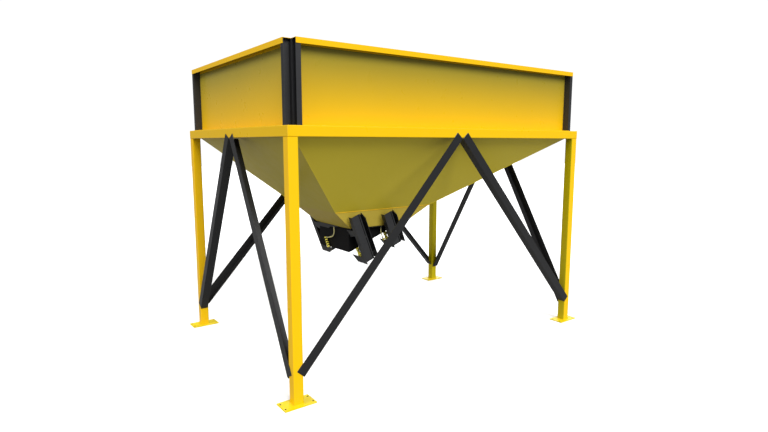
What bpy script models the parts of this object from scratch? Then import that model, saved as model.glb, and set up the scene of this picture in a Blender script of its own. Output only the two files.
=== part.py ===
"""Aggregate hopper on a braced four-leg stand, with two swinging discharge flaps.

Metres, +Z up. The origin is on the ground in the middle of the stand, X along the long side, and
-Y is the front. The discharge gear is laid out in a frame tilted about Y: its own X runs along the
sloping mouth and its own Z stands square to the mouth.
"""
import math

import bmesh
import bpy
from mathutils import Matrix, Vector

# Stand
RING_LENGTH = 5.00
RING_WIDTH = 3.39
TUBE = 0.12
TUBE_WALL = 0.005
TUBE_RADIUS = 0.009
RING_BOTTOM = 2.96
RING_TOP = RING_BOTTOM + TUBE
GAP = 0.0003

# Base plates
PLATE_LENGTH = 0.39
PLATE_WIDTH = 0.23
PLATE_THICK = 0.012
PLATE_HOLE = 0.022
PLATE_HOLE_EDGE_X = 0.025
PLATE_HOLE_EDGE_Y = 0.049

# Braces, equal angle section
BRACE_LEG = 0.113
BRACE_THICK = 0.008
LONG_BRACE_FOOT = 2.411
LONG_BRACE_HEAD = 0.050
SHORT_BRACE_FOOT = 1.596
SHORT_BRACE_HEAD = 0.072
BRACE_FOOT_Z = 0.363
SHORT_BRACE_FOOT_Z = 0.328
BRACE_HEAD_Z = 2.986
SHORT_BRACE_HEAD_Z = 2.982
BRACE_CLEAR = 0.012

# Upper box
WALL_SET_IN = 0.1325
WALL_THICK = 0.004
WALL_FLANGE_SET_IN = 0.010
BOX_TOP = 3.975
RIM_SET_IN = 0.030
RIM_DEPTH = 0.060
POST_SET_IN = 0.036
POST_NOTCH = 0.130
POST_REACH = 0.190
POST_THICK = 0.006
POST_CLEAR = 0.0005

# Funnel: outer faces at each level, lengths along X and half widths along Y
SLOPE_THICK = 0.005
FUNNEL_TOP = RING_TOP - GAP
SLOPE_TOP = RING_BOTTOM
CREASE_Z = 1.948
CREASE_X = (-1.271, 0.398)
CREASE_HALF = 0.570
OUTLET_Z = 1.690
OUTLET_X = (-0.975, -0.040)
OUTLET_HALF = 0.495
TONGUE_X = -0.9914
TONGUE_HALF = 0.317

# Discharge chute
TILT = math.radians(21.0)
CHUTE_FLANGE_X = (-0.998, -0.016)
CHUTE_FLANGE_HALF = 0.518
CHUTE_FLANGE_THICK = 0.008
CHUTE_OPEN_X = (-0.953, -0.054)
CHUTE_OPEN_HALF = 0.408
CHUTE_X = (-0.965, -0.120)
CHUTE_HALF = 0.420
CHUTE_PLATE = 0.006
MOUTH_H = 1.598
SILL_U = (-0.421, -0.3865)
SILL_THICK = 0.008
SILL_SINK = 0.003
SILL_SET_IN = 0.0035

# Flaps, in the tilted frame
SHAFT_U = (-0.2125, 0.3075)
SHAFT_H = 1.625
SHAFT_RADIUS = 0.018
SHAFT_HALF = 0.500
FIT = 0.0004
LEAF_REACH_LOW = (0.165, 0.2275)
LEAF_REACH_HIGH = (0.2825, 0.221)
LEAF_TOP = 1.593
LEAF_THICK = 0.008
LEAF_HALF = 0.400
LUG_RADIUS = 0.034
LUG_THICK = 0.014
LUG_Y = (-0.30, 0.0, 0.30)
LEVER_Y = (0.480, 0.492)
LEVER_HUB = 0.032
LEVER_END = 0.015
LEVER_SINK = 0.004
LEVER_ARM = 0.080
LEVER_ANGLE = math.radians(35.0)
PIN_RADIUS = 0.007
PIN_TIP_Y = 0.430

# Actuators
ROD_OFFSET = 0.0728
ROD_Y = 0.4525
ROD_RADIUS = 0.010
BARREL_RADIUS = 0.024
BARREL_BASE_H = 1.4003
BARREL_TOP_H = 1.538
BORE_FLOOR_H = 1.412
ROD_BASE_H = 1.416
EYE_HALF_H = 0.024
EYE_HALF_U = 0.0235
EYE_HALF_Y = 0.015
EYE_SINK = 0.006
SLOT_HALF_H = 0.0085
SLOT_HALF_U = 0.0156

# Guards
GUARD_U = (-0.320, -0.105)
GUARD_PITCH = SHAFT_U[1] - SHAFT_U[0]
GUARD_TOP_H = (2.125, 1.925)
GUARD_OUT = 0.643
GUARD_STRIP = 0.563
GUARD_PLATE = 0.006
GUARD_COVER_U = 0.143
COVER_SLOT_U = (0.115, 0.128)
COVER_BRIDGE = 0.012
GUARD_COVER_BASE_H = 1.422
GUARD_FOOT_H = 1.388
FOOT_TOP_H = 1.490
FOOT_INNER = 0.405
FOOT_TIP = 0.300
CHEEK_INNER = 0.4206
CHEEK_STEP_H = (1.825, 1.628)
CHEEK_CHAMFER_Y = 0.070
CHEEK_CHAMFER_H = 0.070
CHEEK_TOP_DROP = 0.025
GUARD_FLOOR_H = (1.392, 1.400)
GUARD_FLOOR_OUT = 0.535
GUARD_FLOOR_SINK = 0.002
TAB_LINE = ((0.563, 1.915), (0.385, 1.905), (0.400, 1.886), (0.4215, 1.881), (0.4235, 1.796), (0.563, 1.830))

# Collar bar and air line on the outlet's left side
COLLAR_X = (-1.0065, -0.9985)
COLLAR_LINE = ((0.420, 1.634), (0.420, 1.6945), (-0.190, 1.6945), (-0.190, 1.684), (0.030, 1.664),
               (0.075, 1.634))
VALVE_X = -0.9874
VALVE_FOOT = (0.116, 1.338)
VALVE_HEAD = (0.192, 1.462)
VALVE_RADIUS = 0.022
VALVE_NECK = 0.015
VALVE_RINGS = 4
ELBOW_RADIUS = 0.011
ELBOW_ENDS = ((0.227, 1.4670), (0.1695, 1.4768))
HOSE_RADIUS = 0.008
HOSE_TOP_Z = 1.6812
HOSE_LINE = ((0.1692, 1.47685), (0.145, 1.4809), (0.115, 1.4866), (0.085, 1.4930), (0.050, 1.5020),
             (0.0200, 1.5106), (-0.0033, 1.5207), (-0.0232, 1.5365), (-0.0383, 1.5570),
             (-0.0476, 1.5806), (-0.0505, 1.6041), (-0.0470, 1.6300), (-0.0417, 1.6500),
             (-0.0389, 1.6680), (-0.0385, HOSE_TOP_Z))
PORT_RADIUS = 0.009
PORT_H = 1.515
PORT_REACH = (0.018, 0.062)
PORT_TURN_RADIUS = 0.010
PORT_TURN_H = (1.503, 1.535)
GATE_HOSE_LINE = ((0.1725, 1.5353), (0.1725, 1.5600), (0.1720, 1.5900), (0.1727, 1.6200),
                  (0.1755, 1.6450))

TUBE_STEPS = 32
BORE_STEPS = 24
CORNER_STEPS = 3


def clear_scene():
    for item in list(bpy.data.objects):
        bpy.data.objects.remove(item, do_unlink=True)


def collection(name):
    made = bpy.data.collections.new(name)
    bpy.context.scene.collection.children.link(made)
    return made


def paint(name, colour, roughness, metallic):
    made = bpy.data.materials.new(name)
    made.use_nodes = True
    shader = made.node_tree.nodes["Principled BSDF"]
    shader.inputs["Base Color"].default_value = (*colour, 1.0)
    shader.inputs["Roughness"].default_value = roughness
    shader.inputs["Metallic"].default_value = metallic
    return made


clear_scene()
PARTS = collection("aggregate_hopper")
TOOLS = collection("cutters")
YELLOW = paint("yellow_paint", (0.90, 0.52, 0.010), 0.35, 0.0)
BLACK = paint("black_paint", (0.022, 0.023, 0.026), 0.40, 0.0)
STEEL = paint("bare_steel", (0.55, 0.55, 0.56), 0.30, 1.0)
BRASS = paint("yellow_brass", (0.86, 0.66, 0.16), 0.30, 0.6)
RUBBER = paint("yellow_rubber", (0.78, 0.70, 0.28), 0.45, 0.0)


def place(item, material, parent=None):
    PARTS.objects.link(item)
    item.data.materials.clear()
    item.data.materials.append(material)
    if parent is not None:
        item.parent = parent
    return item


def as_cutter(item, parent=None):
    TOOLS.objects.link(item)
    item.hide_render = True
    item.display_type = "WIRE"
    if parent is not None:
        item.parent = parent
    return item


def flat_mesh(name, outline, thickness, holes=()):
    """A flat outline in local XY, thick along local Z about zero, as a mesh."""
    curve = bpy.data.curves.new(name, "CURVE")
    curve.dimensions = "2D"
    curve.fill_mode = "BOTH"
    curve.extrude = thickness / 2
    for loop in (outline, *holes):
        spline = curve.splines.new("POLY")
        spline.points.add(len(loop) - 1)
        for point, (x, y) in zip(spline.points, loop):
            point.co = (x, y, 0.0, 1.0)
        spline.use_cyclic_u = True
    drawn = bpy.data.objects.new(name + "_outline", curve)
    bpy.context.scene.collection.objects.link(drawn)
    bpy.context.view_layer.update()
    mesh = bpy.data.meshes.new_from_object(drawn.evaluated_get(bpy.context.evaluated_depsgraph_get()))
    bpy.data.objects.remove(drawn, do_unlink=True)
    work = bmesh.new()
    work.from_mesh(mesh)
    bmesh.ops.remove_doubles(work, verts=work.verts, dist=1e-6)
    bmesh.ops.recalc_face_normals(work, faces=work.faces)
    work.to_mesh(mesh)
    work.free()
    mesh.name = name
    return mesh


def box_mesh(name, low, high):
    work = bmesh.new()
    bmesh.ops.create_cube(work, size=1.0)
    size = [b - a for a, b in zip(low, high)]
    middle = [(a + b) / 2 for a, b in zip(low, high)]
    bmesh.ops.scale(work, vec=size, verts=work.verts)
    bmesh.ops.translate(work, vec=middle, verts=work.verts)
    mesh = bpy.data.meshes.new(name)
    work.to_mesh(mesh)
    work.free()
    return mesh


def round_mesh(name, radius, low, high, axis="Y", steps=TUBE_STEPS):
    """A cylinder along one axis from low to high."""
    work = bmesh.new()
    bmesh.ops.create_cone(work, cap_ends=True, segments=steps, radius1=radius, radius2=radius,
                          depth=high - low)
    bmesh.ops.translate(work, vec=(0.0, 0.0, (low + high) / 2), verts=work.verts)
    if axis == "Y":
        bmesh.ops.rotate(work, matrix=Matrix.Rotation(math.radians(-90), 3, "X"), verts=work.verts)
    if axis == "X":
        bmesh.ops.rotate(work, matrix=Matrix.Rotation(math.radians(90), 3, "Y"), verts=work.verts)
    mesh = bpy.data.meshes.new(name)
    work.to_mesh(mesh)
    work.free()
    return mesh


def combine(item, other, operation):
    step = item.modifiers.new(operation.lower() + "_" + other.name, "BOOLEAN")
    step.operation = operation
    step.solver = "EXACT"
    step.object = other


def smooth(item, degrees=35.0):
    item.data.shade_smooth()
    item.data.set_sharp_from_angle(angle=math.radians(degrees))


def rounded_square(half, radius, steps=CORNER_STEPS):
    points = []
    for quarter in range(4):
        start = math.radians(90 * quarter)
        turn = math.radians(45 + 90 * quarter)
        reach = (half - radius) * math.sqrt(2)
        centre = (reach * math.cos(turn), reach * math.sin(turn))
        for step in range(steps + 1):
            angle = start + math.radians(90) * step / steps
            points.append((centre[0] + radius * math.cos(angle), centre[1] + radius * math.sin(angle)))
    return points


def tube_mesh(name, length):
    outer = rounded_square(TUBE / 2, TUBE_RADIUS)
    inner = rounded_square(TUBE / 2 - TUBE_WALL, TUBE_RADIUS - TUBE_WALL)
    return flat_mesh(name, outer, length, [inner])


def leg(name, side_x, side_y):
    low = PLATE_THICK + GAP
    high = RING_BOTTOM - GAP
    item = bpy.data.objects.new(name, tube_mesh(name, high - low))
    item.location = (side_x * (RING_LENGTH - TUBE) / 2, side_y * (RING_WIDTH - TUBE) / 2, (low + high) / 2)
    smooth(place(item, YELLOW))


def circle(x, y, radius, steps=BORE_STEPS):
    turn = 2 * math.pi / steps
    return [(x + radius * math.cos(turn * k), y + radius * math.sin(turn * k)) for k in range(steps)]


def base_plate(name, side_x, side_y):
    x, y = PLATE_LENGTH / 2, PLATE_WIDTH / 2
    outline = [(-x, -y), (x, -y), (x, y), (-x, y)]
    hole_x, hole_y = x - PLATE_HOLE_EDGE_X, y - PLATE_HOLE_EDGE_Y
    holes = [circle(i * hole_x, j * hole_y, PLATE_HOLE / 2) for i in (-1, 1) for j in (-1, 1)]
    item = bpy.data.objects.new(name, flat_mesh(name, outline, PLATE_THICK, holes))
    item.location = (side_x * (RING_LENGTH - TUBE) / 2, side_y * (RING_WIDTH - TUBE) / 2, PLATE_THICK / 2)
    smooth(place(item, YELLOW))


def ring_beam(name, along_x, side):
    """A square tube along local Z with both ends cut to 45 degrees."""
    full = RING_LENGTH if along_x else RING_WIDTH
    item = bpy.data.objects.new(name, tube_mesh(name, full + 0.02))
    middle = (RING_BOTTOM + RING_TOP) / 2
    if along_x:
        item.rotation_euler = (0.0, math.radians(90), 0.0)
        item.location = (0.0, side * (RING_WIDTH - TUBE) / 2, middle)
    else:
        item.rotation_euler = (math.radians(90), 0.0, 0.0)
        item.location = (side * (RING_LENGTH - TUBE) / 2, 0.0, middle)
    smooth(place(item, YELLOW))
    reach = 4 * TUBE
    for end in (-1, 1):
        corner = (end, side) if along_x else (side, end)
        cutter = bpy.data.objects.new(name + "_mitre_" + ("a" if end < 0 else "b"),
                                      box_mesh("mitre", (-GAP / 2, -reach, -TUBE), (reach, reach, TUBE)))
        away = (corner[0], -corner[1]) if along_x else (-corner[0], corner[1])
        cutter.rotation_euler = (0.0, 0.0, math.atan2(away[1], away[0]))
        cutter.location = (corner[0] * RING_LENGTH / 2, corner[1] * RING_WIDTH / 2, middle)
        as_cutter(cutter)
        combine(item, cutter, "DIFFERENCE")


def brace(name, foot, head, outward):
    """One angle from foot to head, its flat leg on the outside and the other leg pointing in.

    foot and head are the middle of the flat leg's ends on the outer faces of the stand. The leg
    that points in stands on the lower edge of the flat leg and stops short of the ring beam and
    of the stand's leg.
    """
    foot, head, outward = Vector(foot), Vector(head), Vector(outward)
    run = (head - foot).normalized()
    edge_side = run.cross(outward).normalized()
    if edge_side.z > 0:
        edge_side = -edge_side
    # Local X runs across the flat leg from the edge that carries the inward leg, Y points inward.
    turn = 1.0 if (-edge_side).cross(-outward).dot(run) > 0 else -1.0
    basis = Matrix((-edge_side, -outward, run * turn)).transposed()
    half = (head - foot).length / 2
    middle = (foot + head) / 2
    corner = middle + edge_side * (BRACE_LEG / 2) + outward * (BRACE_THICK + GAP)
    where = Matrix.Translation(corner) @ basis.to_4x4()
    across_level = run.x if abs(run.x) > abs(run.y) else run.y
    level = 0 if abs(run.x) > abs(run.y) else 1
    foot_stop = (RING_LENGTH / 2 if level == 0 else RING_WIDTH / 2) - TUBE - BRACE_CLEAR
    head_stop = RING_BOTTOM - BRACE_CLEAR
    near_edge, far_edge = BRACE_LEG / 2, BRACE_LEG / 2 - BRACE_THICK
    heights = [middle.z + edge_side.z * reach for reach in (near_edge, far_edge)]
    high = (head_stop - max(heights)) / run.z
    ends = [abs(middle[level] + edge_side[level] * reach) for reach in (near_edge, far_edge)]
    low = -(foot_stop - max(ends)) / abs(across_level)
    first, last = sorted((low * turn, high * turn))
    item = bpy.data.objects.new(name, box_mesh(name, (0.0, 0.0, -half), (BRACE_LEG, BRACE_THICK, half)))
    item.matrix_world = where
    place(item, BLACK)
    inner = as_cutter(bpy.data.objects.new(name + "_inner", box_mesh(
        "inner", (0.0, BRACE_THICK / 2, first), (BRACE_THICK, BRACE_LEG, last))))
    inner.matrix_world = where
    combine(item, inner, "UNION")


def build_braces():
    half_x, half_y = RING_LENGTH / 2, RING_WIDTH / 2
    for side, label in ((-1, "front"), (1, "back")):
        for end, hand in ((-1, "left"), (1, "right")):
            foot = (end * LONG_BRACE_FOOT, side * half_y, BRACE_FOOT_Z)
            head = (end * LONG_BRACE_HEAD, side * half_y, BRACE_HEAD_Z)
            brace(f"brace_{label}_{hand}", foot, head, (0, side, 0))
    for side, label in ((-1, "left"), (1, "right")):
        for end, hand in ((-1, "front"), (1, "back")):
            foot = (side * half_x, end * SHORT_BRACE_FOOT, SHORT_BRACE_FOOT_Z)
            head = (side * half_x, end * SHORT_BRACE_HEAD, SHORT_BRACE_HEAD_Z)
            brace(f"brace_{label}_{hand}", foot, head, (side, 0, 0))


def wall(name, along_x, side):
    """A folded sheet: foot flange on the ring, wall, top flange and outer lip."""
    low = RING_TOP + GAP
    top = BOX_TOP
    t = WALL_THICK
    a, b, c, d = WALL_FLANGE_SET_IN, RIM_SET_IN, WALL_SET_IN, WALL_SET_IN + t
    outline = [(a, low), (d, low), (d, top), (b, top), (b, top - RIM_DEPTH), (b + t, top - RIM_DEPTH),
               (b + t, top - t), (c, top - t), (c, low + t), (a, low + t)]
    half = (RING_LENGTH if along_x else RING_WIDTH) / 2
    length = 2 * (half - WALL_SET_IN) if along_x else 2 * (half - WALL_SET_IN - t - GAP)
    mesh = flat_mesh(name, outline, length)
    face = (RING_WIDTH if along_x else RING_LENGTH) / 2
    # Outline X is the distance in from the ring's outer face and outline Y is the height.
    if along_x:
        basis = Matrix(((0, 0, 1), (-side, 0, 0), (0, 1, 0)))
        origin = Vector((0, side * face, 0))
    else:
        basis = Matrix(((-side, 0, 0), (0, 0, 1), (0, 1, 0)))
        origin = Vector((side * face, 0, 0))
    turned = Matrix.Translation(origin) @ basis.to_4x4()
    mesh.transform(turned)
    work = bmesh.new()
    work.from_mesh(mesh)
    bmesh.ops.recalc_face_normals(work, faces=work.faces)
    work.to_mesh(mesh)
    work.free()
    item = place(bpy.data.objects.new(name, mesh), YELLOW)
    for end in (-1, 1):
        along = sorted((end * (half - POST_REACH - POST_CLEAR), end * half))
        through = sorted((side * face, side * (face - WALL_SET_IN)))
        corner = list(zip(along, through)) if along_x else list(zip(through, along))
        cutter = box_mesh("foot_cut", (*corner[0], low - 0.002), (*corner[1], low + 2 * t))
        shape = as_cutter(bpy.data.objects.new(name + "_foot_cut_" + ("a" if end < 0 else "b"), cutter))
        combine(item, shape, "DIFFERENCE")


def corner_post(name, side_x, side_y):
    """Two channels joined round the box's corner, their open sides facing each other."""
    t = POST_THICK
    out, notch, reach, back = POST_SET_IN, POST_NOTCH, POST_REACH, WALL_SET_IN - GAP
    outline = [(notch, out), (reach, out), (reach, back), (back, back), (back, reach), (out, reach),
               (out, notch), (out + t, notch), (out + t, reach - t), (back - t, reach - t),
               (back - t, back - t), (reach - t, back - t), (reach - t, out + t), (notch, out + t)]
    low = RING_TOP + GAP
    high = BOX_TOP - WALL_THICK - GAP
    mesh = flat_mesh(name, outline, high - low)
    corner = (side_x * RING_LENGTH / 2, side_y * RING_WIDTH / 2, (low + high) / 2)
    mesh.transform(Matrix.Diagonal((-side_x, -side_y, 1.0, 1.0)))
    work = bmesh.new()
    work.from_mesh(mesh)
    bmesh.ops.recalc_face_normals(work, faces=work.faces)
    work.to_mesh(mesh)
    work.free()
    item = bpy.data.objects.new(name, mesh)
    item.location = corner
    place(item, BLACK)


def funnel_levels():
    """Outer rectangle of the funnel at each fold, top to bottom: z, low x, high x, half width."""
    x = RING_LENGTH / 2 - WALL_SET_IN
    y = RING_WIDTH / 2 - WALL_SET_IN
    return [(FUNNEL_TOP, -x, x, y), (SLOPE_TOP, -x, x, y), (CREASE_Z, *CREASE_X, CREASE_HALF),
            (OUTLET_Z, *OUTLET_X, OUTLET_HALF)]


def level_insets(positions, heights):
    """Horizontal thickness of a folded sheet at each fold."""
    steps = []
    for k in range(len(heights) - 1):
        run = (positions[k + 1] - positions[k]) / (heights[k] - heights[k + 1])
        steps.append(SLOPE_THICK * math.sqrt(1.0 + run * run))
    insets = [steps[0]]
    for k in range(1, len(steps)):
        insets.append((steps[k - 1] + steps[k]) / 2)
    insets.append(steps[-1])
    return insets


def funnel_panel(name, side):
    """One side of the funnel: upright skirt, slope and neck, mitred to its neighbours.

    The left slope runs on in its own plane as a tongue down to the outlet, and two narrow wedges
    fill the space between the tongue and the outlet's corners.
    """
    levels = funnel_levels()
    heights = [level[0] for level in levels]
    inset_low = level_insets([level[1] for level in levels], heights)
    inset_high = level_insets([-level[2] for level in levels], heights)
    inset_side = level_insets([-level[3] for level in levels], heights)
    first, second = {"front": ("ll", "hl"), "back": ("hh", "lh"),
                     "left": ("lh", "ll"), "right": ("hl", "hh")}[side]
    pull = {"front": (1, 0), "back": (-1, 0), "left": (0, -1), "right": (0, 1)}[side]
    pull = [way * GAP / 2 for way in pull]
    work = bmesh.new()
    rings = []
    for k, (z, low_x, high_x, half) in enumerate(levels):
        in_low, in_high, in_side = low_x + inset_low[k], high_x - inset_high[k], half - inset_side[k]
        outer = {"ll": (low_x, -half), "hl": (high_x, -half), "hh": (high_x, half), "lh": (low_x, half)}
        inner = {"ll": (in_low, -in_side), "hl": (in_high, -in_side),
                 "hh": (in_high, in_side), "lh": (in_low, in_side)}
        row = []
        for table in (outer, inner):
            for key, sign in ((first, 1), (second, -1)):
                x, y = table[key]
                row.append(work.verts.new((x + sign * pull[0], y + sign * pull[1], z)))
        rings.append(row)
    tongue = []
    if side == "left":
        for x in (TONGUE_X, TONGUE_X + inset_low[-1]):
            tongue += [work.verts.new((x, y, OUTLET_Z)) for y in (TONGUE_HALF, -TONGUE_HALF)]
    for upper, lower in zip(rings, rings[1:]):
        work.faces.new((upper[0], lower[0], lower[2], upper[2]))
        work.faces.new((upper[1], upper[3], lower[3], lower[1]))
        if tongue and lower is rings[-1]:
            for k in (0, 2):
                work.faces.new((upper[k], upper[k + 1], tongue[k + 1], tongue[k]))
                work.faces.new((upper[k], tongue[k], lower[k]))
                work.faces.new((upper[k + 1], lower[k + 1], tongue[k + 1]))
        else:
            work.faces.new((upper[0], upper[1], lower[1], lower[0]))
            work.faces.new((upper[2], lower[2], lower[3], upper[3]))
    work.faces.new((rings[0][0], rings[0][2], rings[0][3], rings[0][1]))
    last = rings[-1]
    if tongue:
        work.faces.new((last[0], tongue[0], tongue[1], last[1], last[3], tongue[3], tongue[2], last[2]))
    else:
        work.faces.new((last[0], last[1], last[3], last[2]))
    bmesh.ops.recalc_face_normals(work, faces=work.faces)
    mesh = bpy.data.meshes.new(name)
    work.to_mesh(mesh)
    work.free()
    place(bpy.data.objects.new(name, mesh), YELLOW)


def xz_mesh(name, outline, low_y, high_y):
    """A flat outline in XZ, thick along Y."""
    mesh = flat_mesh(name, [(x, -z) for x, z in outline], high_y - low_y)
    upright = Matrix.Rotation(math.radians(-90), 4, "X")
    mesh.transform(Matrix.Translation((0, (low_y + high_y) / 2, 0)) @ upright)
    return mesh


def yz_mesh(name, outline, low_x, high_x):
    """A flat outline in YZ, thick along X."""
    mesh = flat_mesh(name, outline, high_x - low_x)
    turn = Matrix(((0, 0, 1, 0), (1, 0, 0, 0), (0, 1, 0, 0), (0, 0, 0, 1)))
    mesh.transform(Matrix.Translation(((low_x + high_x) / 2, 0, 0)) @ turn)
    return mesh


def mouth_height(x):
    """World height of the sloping mouth at world x."""
    return (x * math.sin(TILT) + MOUTH_H) / math.cos(TILT)


def chute(frame):
    flange_low = OUTLET_Z - GAP - CHUTE_FLANGE_THICK
    low_x, high_x = CHUTE_X
    outline = [(low_x, flange_low + 0.004), (high_x, flange_low + 0.004), (high_x, mouth_height(high_x)),
               (low_x, mouth_height(low_x))]
    item = place(bpy.data.objects.new("outlet_chute", xz_mesh(
        "outlet_chute", outline, -CHUTE_HALF, CHUTE_HALF)), BLACK)
    inner = CHUTE_HALF - CHUTE_PLATE
    hollow = as_cutter(bpy.data.objects.new("chute_hollow", box_mesh(
        "chute_hollow", (low_x + CHUTE_PLATE, -inner, 1.2), (high_x + 0.2, inner, OUTLET_Z + 0.1))))
    combine(item, hollow, "DIFFERENCE")
    flange = as_cutter(bpy.data.objects.new("chute_flange", flat_mesh(
        "chute_flange",
        [(CHUTE_FLANGE_X[0], -CHUTE_FLANGE_HALF), (CHUTE_FLANGE_X[1], -CHUTE_FLANGE_HALF),
         (CHUTE_FLANGE_X[1], CHUTE_FLANGE_HALF), (CHUTE_FLANGE_X[0], CHUTE_FLANGE_HALF)],
        CHUTE_FLANGE_THICK,
        [[(CHUTE_OPEN_X[0], -CHUTE_OPEN_HALF), (CHUTE_OPEN_X[1], -CHUTE_OPEN_HALF),
          (CHUTE_OPEN_X[1], CHUTE_OPEN_HALF), (CHUTE_OPEN_X[0], CHUTE_OPEN_HALF)]])))
    flange.location = (0.0, 0.0, flange_low + CHUTE_FLANGE_THICK / 2)
    combine(item, flange, "UNION")
    sill = as_cutter(bpy.data.objects.new("chute_sill", box_mesh(
        "chute_sill", (SILL_U[0] + SILL_SET_IN, -inner - SILL_SINK, MOUTH_H),
        (SILL_U[1], inner + SILL_SINK, MOUTH_H + SILL_THICK))), frame)
    combine(item, sill, "UNION")
    for label, u in zip(("a", "b"), SHAFT_U):
        bore = as_cutter(bpy.data.objects.new("shaft_bore_" + label, round_mesh(
            "shaft_bore", SHAFT_RADIUS + FIT, -CHUTE_HALF - 0.05, CHUTE_HALF + 0.05)), frame)
        bore.location = (u, 0.0, SHAFT_H)
        combine(item, bore, "DIFFERENCE")


def flap(frame, index, name):
    """A flat leaf hung from its shaft by three lugs."""
    u = SHAFT_U[index]
    drop = LEAF_TOP - SHAFT_H
    item = bpy.data.objects.new(name, box_mesh(name, (-LEAF_REACH_LOW[index], -LEAF_HALF, drop - LEAF_THICK),
                                               (LEAF_REACH_HIGH[index], LEAF_HALF, drop)))
    item.location = (u, 0.0, SHAFT_H)
    place(item, BLACK, frame)
    for k, y in enumerate(LUG_Y):
        low, high = y - LUG_THICK / 2, y + LUG_THICK / 2
        steps = 16
        outline = [(-LUG_RADIUS, drop - LEAF_THICK / 2), (LUG_RADIUS, drop - LEAF_THICK / 2)]
        outline += [(LUG_RADIUS * math.cos(math.pi * s / steps), LUG_RADIUS * math.sin(math.pi * s / steps))
                    for s in range(steps + 1)]
        lug = as_cutter(bpy.data.objects.new(f"{name}_lug_{k}", xz_mesh("lug", outline, low, high)), frame)
        lug.location = (u, 0.0, SHAFT_H)
        combine(item, lug, "UNION")
    bore = as_cutter(bpy.data.objects.new(name + "_bore", round_mesh(
        "bore", SHAFT_RADIUS + FIT, -LEAF_HALF, LEAF_HALF)), frame)
    bore.location = (u, 0.0, SHAFT_H)
    combine(item, bore, "DIFFERENCE")
    smooth(item)


def shaft(frame, index, name):
    """The shaft with a lever and a drive pin on each end."""
    u = SHAFT_U[index]
    item = bpy.data.objects.new(name, round_mesh(name, SHAFT_RADIUS, -SHAFT_HALF, SHAFT_HALF))
    item.location = (u, 0.0, SHAFT_H)
    place(item, STEEL, frame)
    pin_x = -LEVER_ARM * math.cos(LEVER_ANGLE)
    pin_z = -LEVER_ARM * math.sin(LEVER_ANGLE)
    for label, side in (("front", -1), ("back", 1)):
        low, high = sorted((side * LEVER_Y[0], side * LEVER_Y[1]))
        outline = lever_outline(pin_x, pin_z)
        arm = as_cutter(bpy.data.objects.new(
            f"{name}_lever_{label}", xz_mesh("lever", outline, low, high)), frame)
        arm.location = (u, 0.0, SHAFT_H)
        combine(item, arm, "UNION")
        low, high = sorted((side * (LEVER_Y[1] - LEVER_SINK), side * PIN_TIP_Y))
        pin = as_cutter(bpy.data.objects.new(f"{name}_pin_{label}", round_mesh(
            "pin", PIN_RADIUS, low, high, steps=BORE_STEPS)), frame)
        pin.location = (u + pin_x, 0.0, SHAFT_H + pin_z)
        combine(item, pin, "UNION")
    smooth(item)


def lever_outline(pin_x, pin_z):
    """A pear shape round the shaft and the drive pin."""
    reach = math.hypot(pin_x, pin_z)
    heading = math.atan2(pin_z, pin_x)
    spread = math.acos((LEVER_HUB - LEVER_END) / reach)
    points = []
    steps = 18
    for s in range(steps + 1):
        angle = heading + spread + (2 * math.pi - 2 * spread) * s / steps
        points.append((LEVER_HUB * math.cos(angle), LEVER_HUB * math.sin(angle)))
    for s in range(9):
        angle = heading - spread + 2 * spread * s / 8
        points.append((pin_x + LEVER_END * math.cos(angle), pin_z + LEVER_END * math.sin(angle)))
    return points


def actuator(frame, index, side, label):
    """The barrel on the guard's floor, with unit two's hose port, and the rod with its slotted eye."""
    u = SHAFT_U[index] - ROD_OFFSET
    y = side * ROD_Y
    barrel = bpy.data.objects.new("barrel_" + label, round_mesh(
        "barrel_" + label, BARREL_RADIUS, BARREL_BASE_H, BARREL_TOP_H, "Z"))
    barrel.location = (u, y, 0.0)
    place(barrel, BRASS, frame)
    bore = as_cutter(bpy.data.objects.new("barrel_bore_" + label, round_mesh(
        "barrel_bore", ROD_RADIUS + FIT, BORE_FLOOR_H, BARREL_TOP_H + BARREL_RADIUS, "Z", BORE_STEPS)), frame)
    bore.location = (u, y, 0.0)
    combine(barrel, bore, "DIFFERENCE")
    if index == 1:
        port = as_cutter(bpy.data.objects.new("port_" + label, round_mesh(
            "port", PORT_RADIUS, -PORT_REACH[1], -PORT_REACH[0], "X", BORE_STEPS)), frame)
        port.location = (u, y, PORT_H)
        combine(barrel, port, "UNION")
        rise = as_cutter(bpy.data.objects.new("port_turn_" + label, round_mesh(
            "port_turn", PORT_TURN_RADIUS, *PORT_TURN_H, "Z", BORE_STEPS)), frame)
        rise.location = (GATE_HOSE_LINE[0][0], y, 0.0)
        combine(barrel, rise, "UNION")
    smooth(barrel)
    eye_h = SHAFT_H - LEVER_ARM * math.sin(LEVER_ANGLE)
    rod = bpy.data.objects.new("rod_" + label, box_mesh(
        "rod_" + label, (-EYE_HALF_U, -EYE_HALF_Y, -EYE_HALF_H), (EYE_HALF_U, EYE_HALF_Y, EYE_HALF_H)))
    rod.location = (u, y, eye_h)
    place(rod, BRASS, frame)
    stem = as_cutter(bpy.data.objects.new("stem_" + label, round_mesh(
        "stem", ROD_RADIUS, ROD_BASE_H - eye_h, EYE_SINK - EYE_HALF_H, "Z", BORE_STEPS)), frame)
    stem.location = (u, y, eye_h)
    combine(rod, stem, "UNION")
    slot = as_cutter(bpy.data.objects.new("slot_" + label, box_mesh(
        "slot", (-SLOT_HALF_U, -2 * EYE_HALF_Y, -SLOT_HALF_H),
        (SLOT_HALF_U, 2 * EYE_HALF_Y, SLOT_HALF_H))), frame)
    slot.location = (u, y, eye_h)
    combine(rod, slot, "DIFFERENCE")
    smooth(rod)


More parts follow.
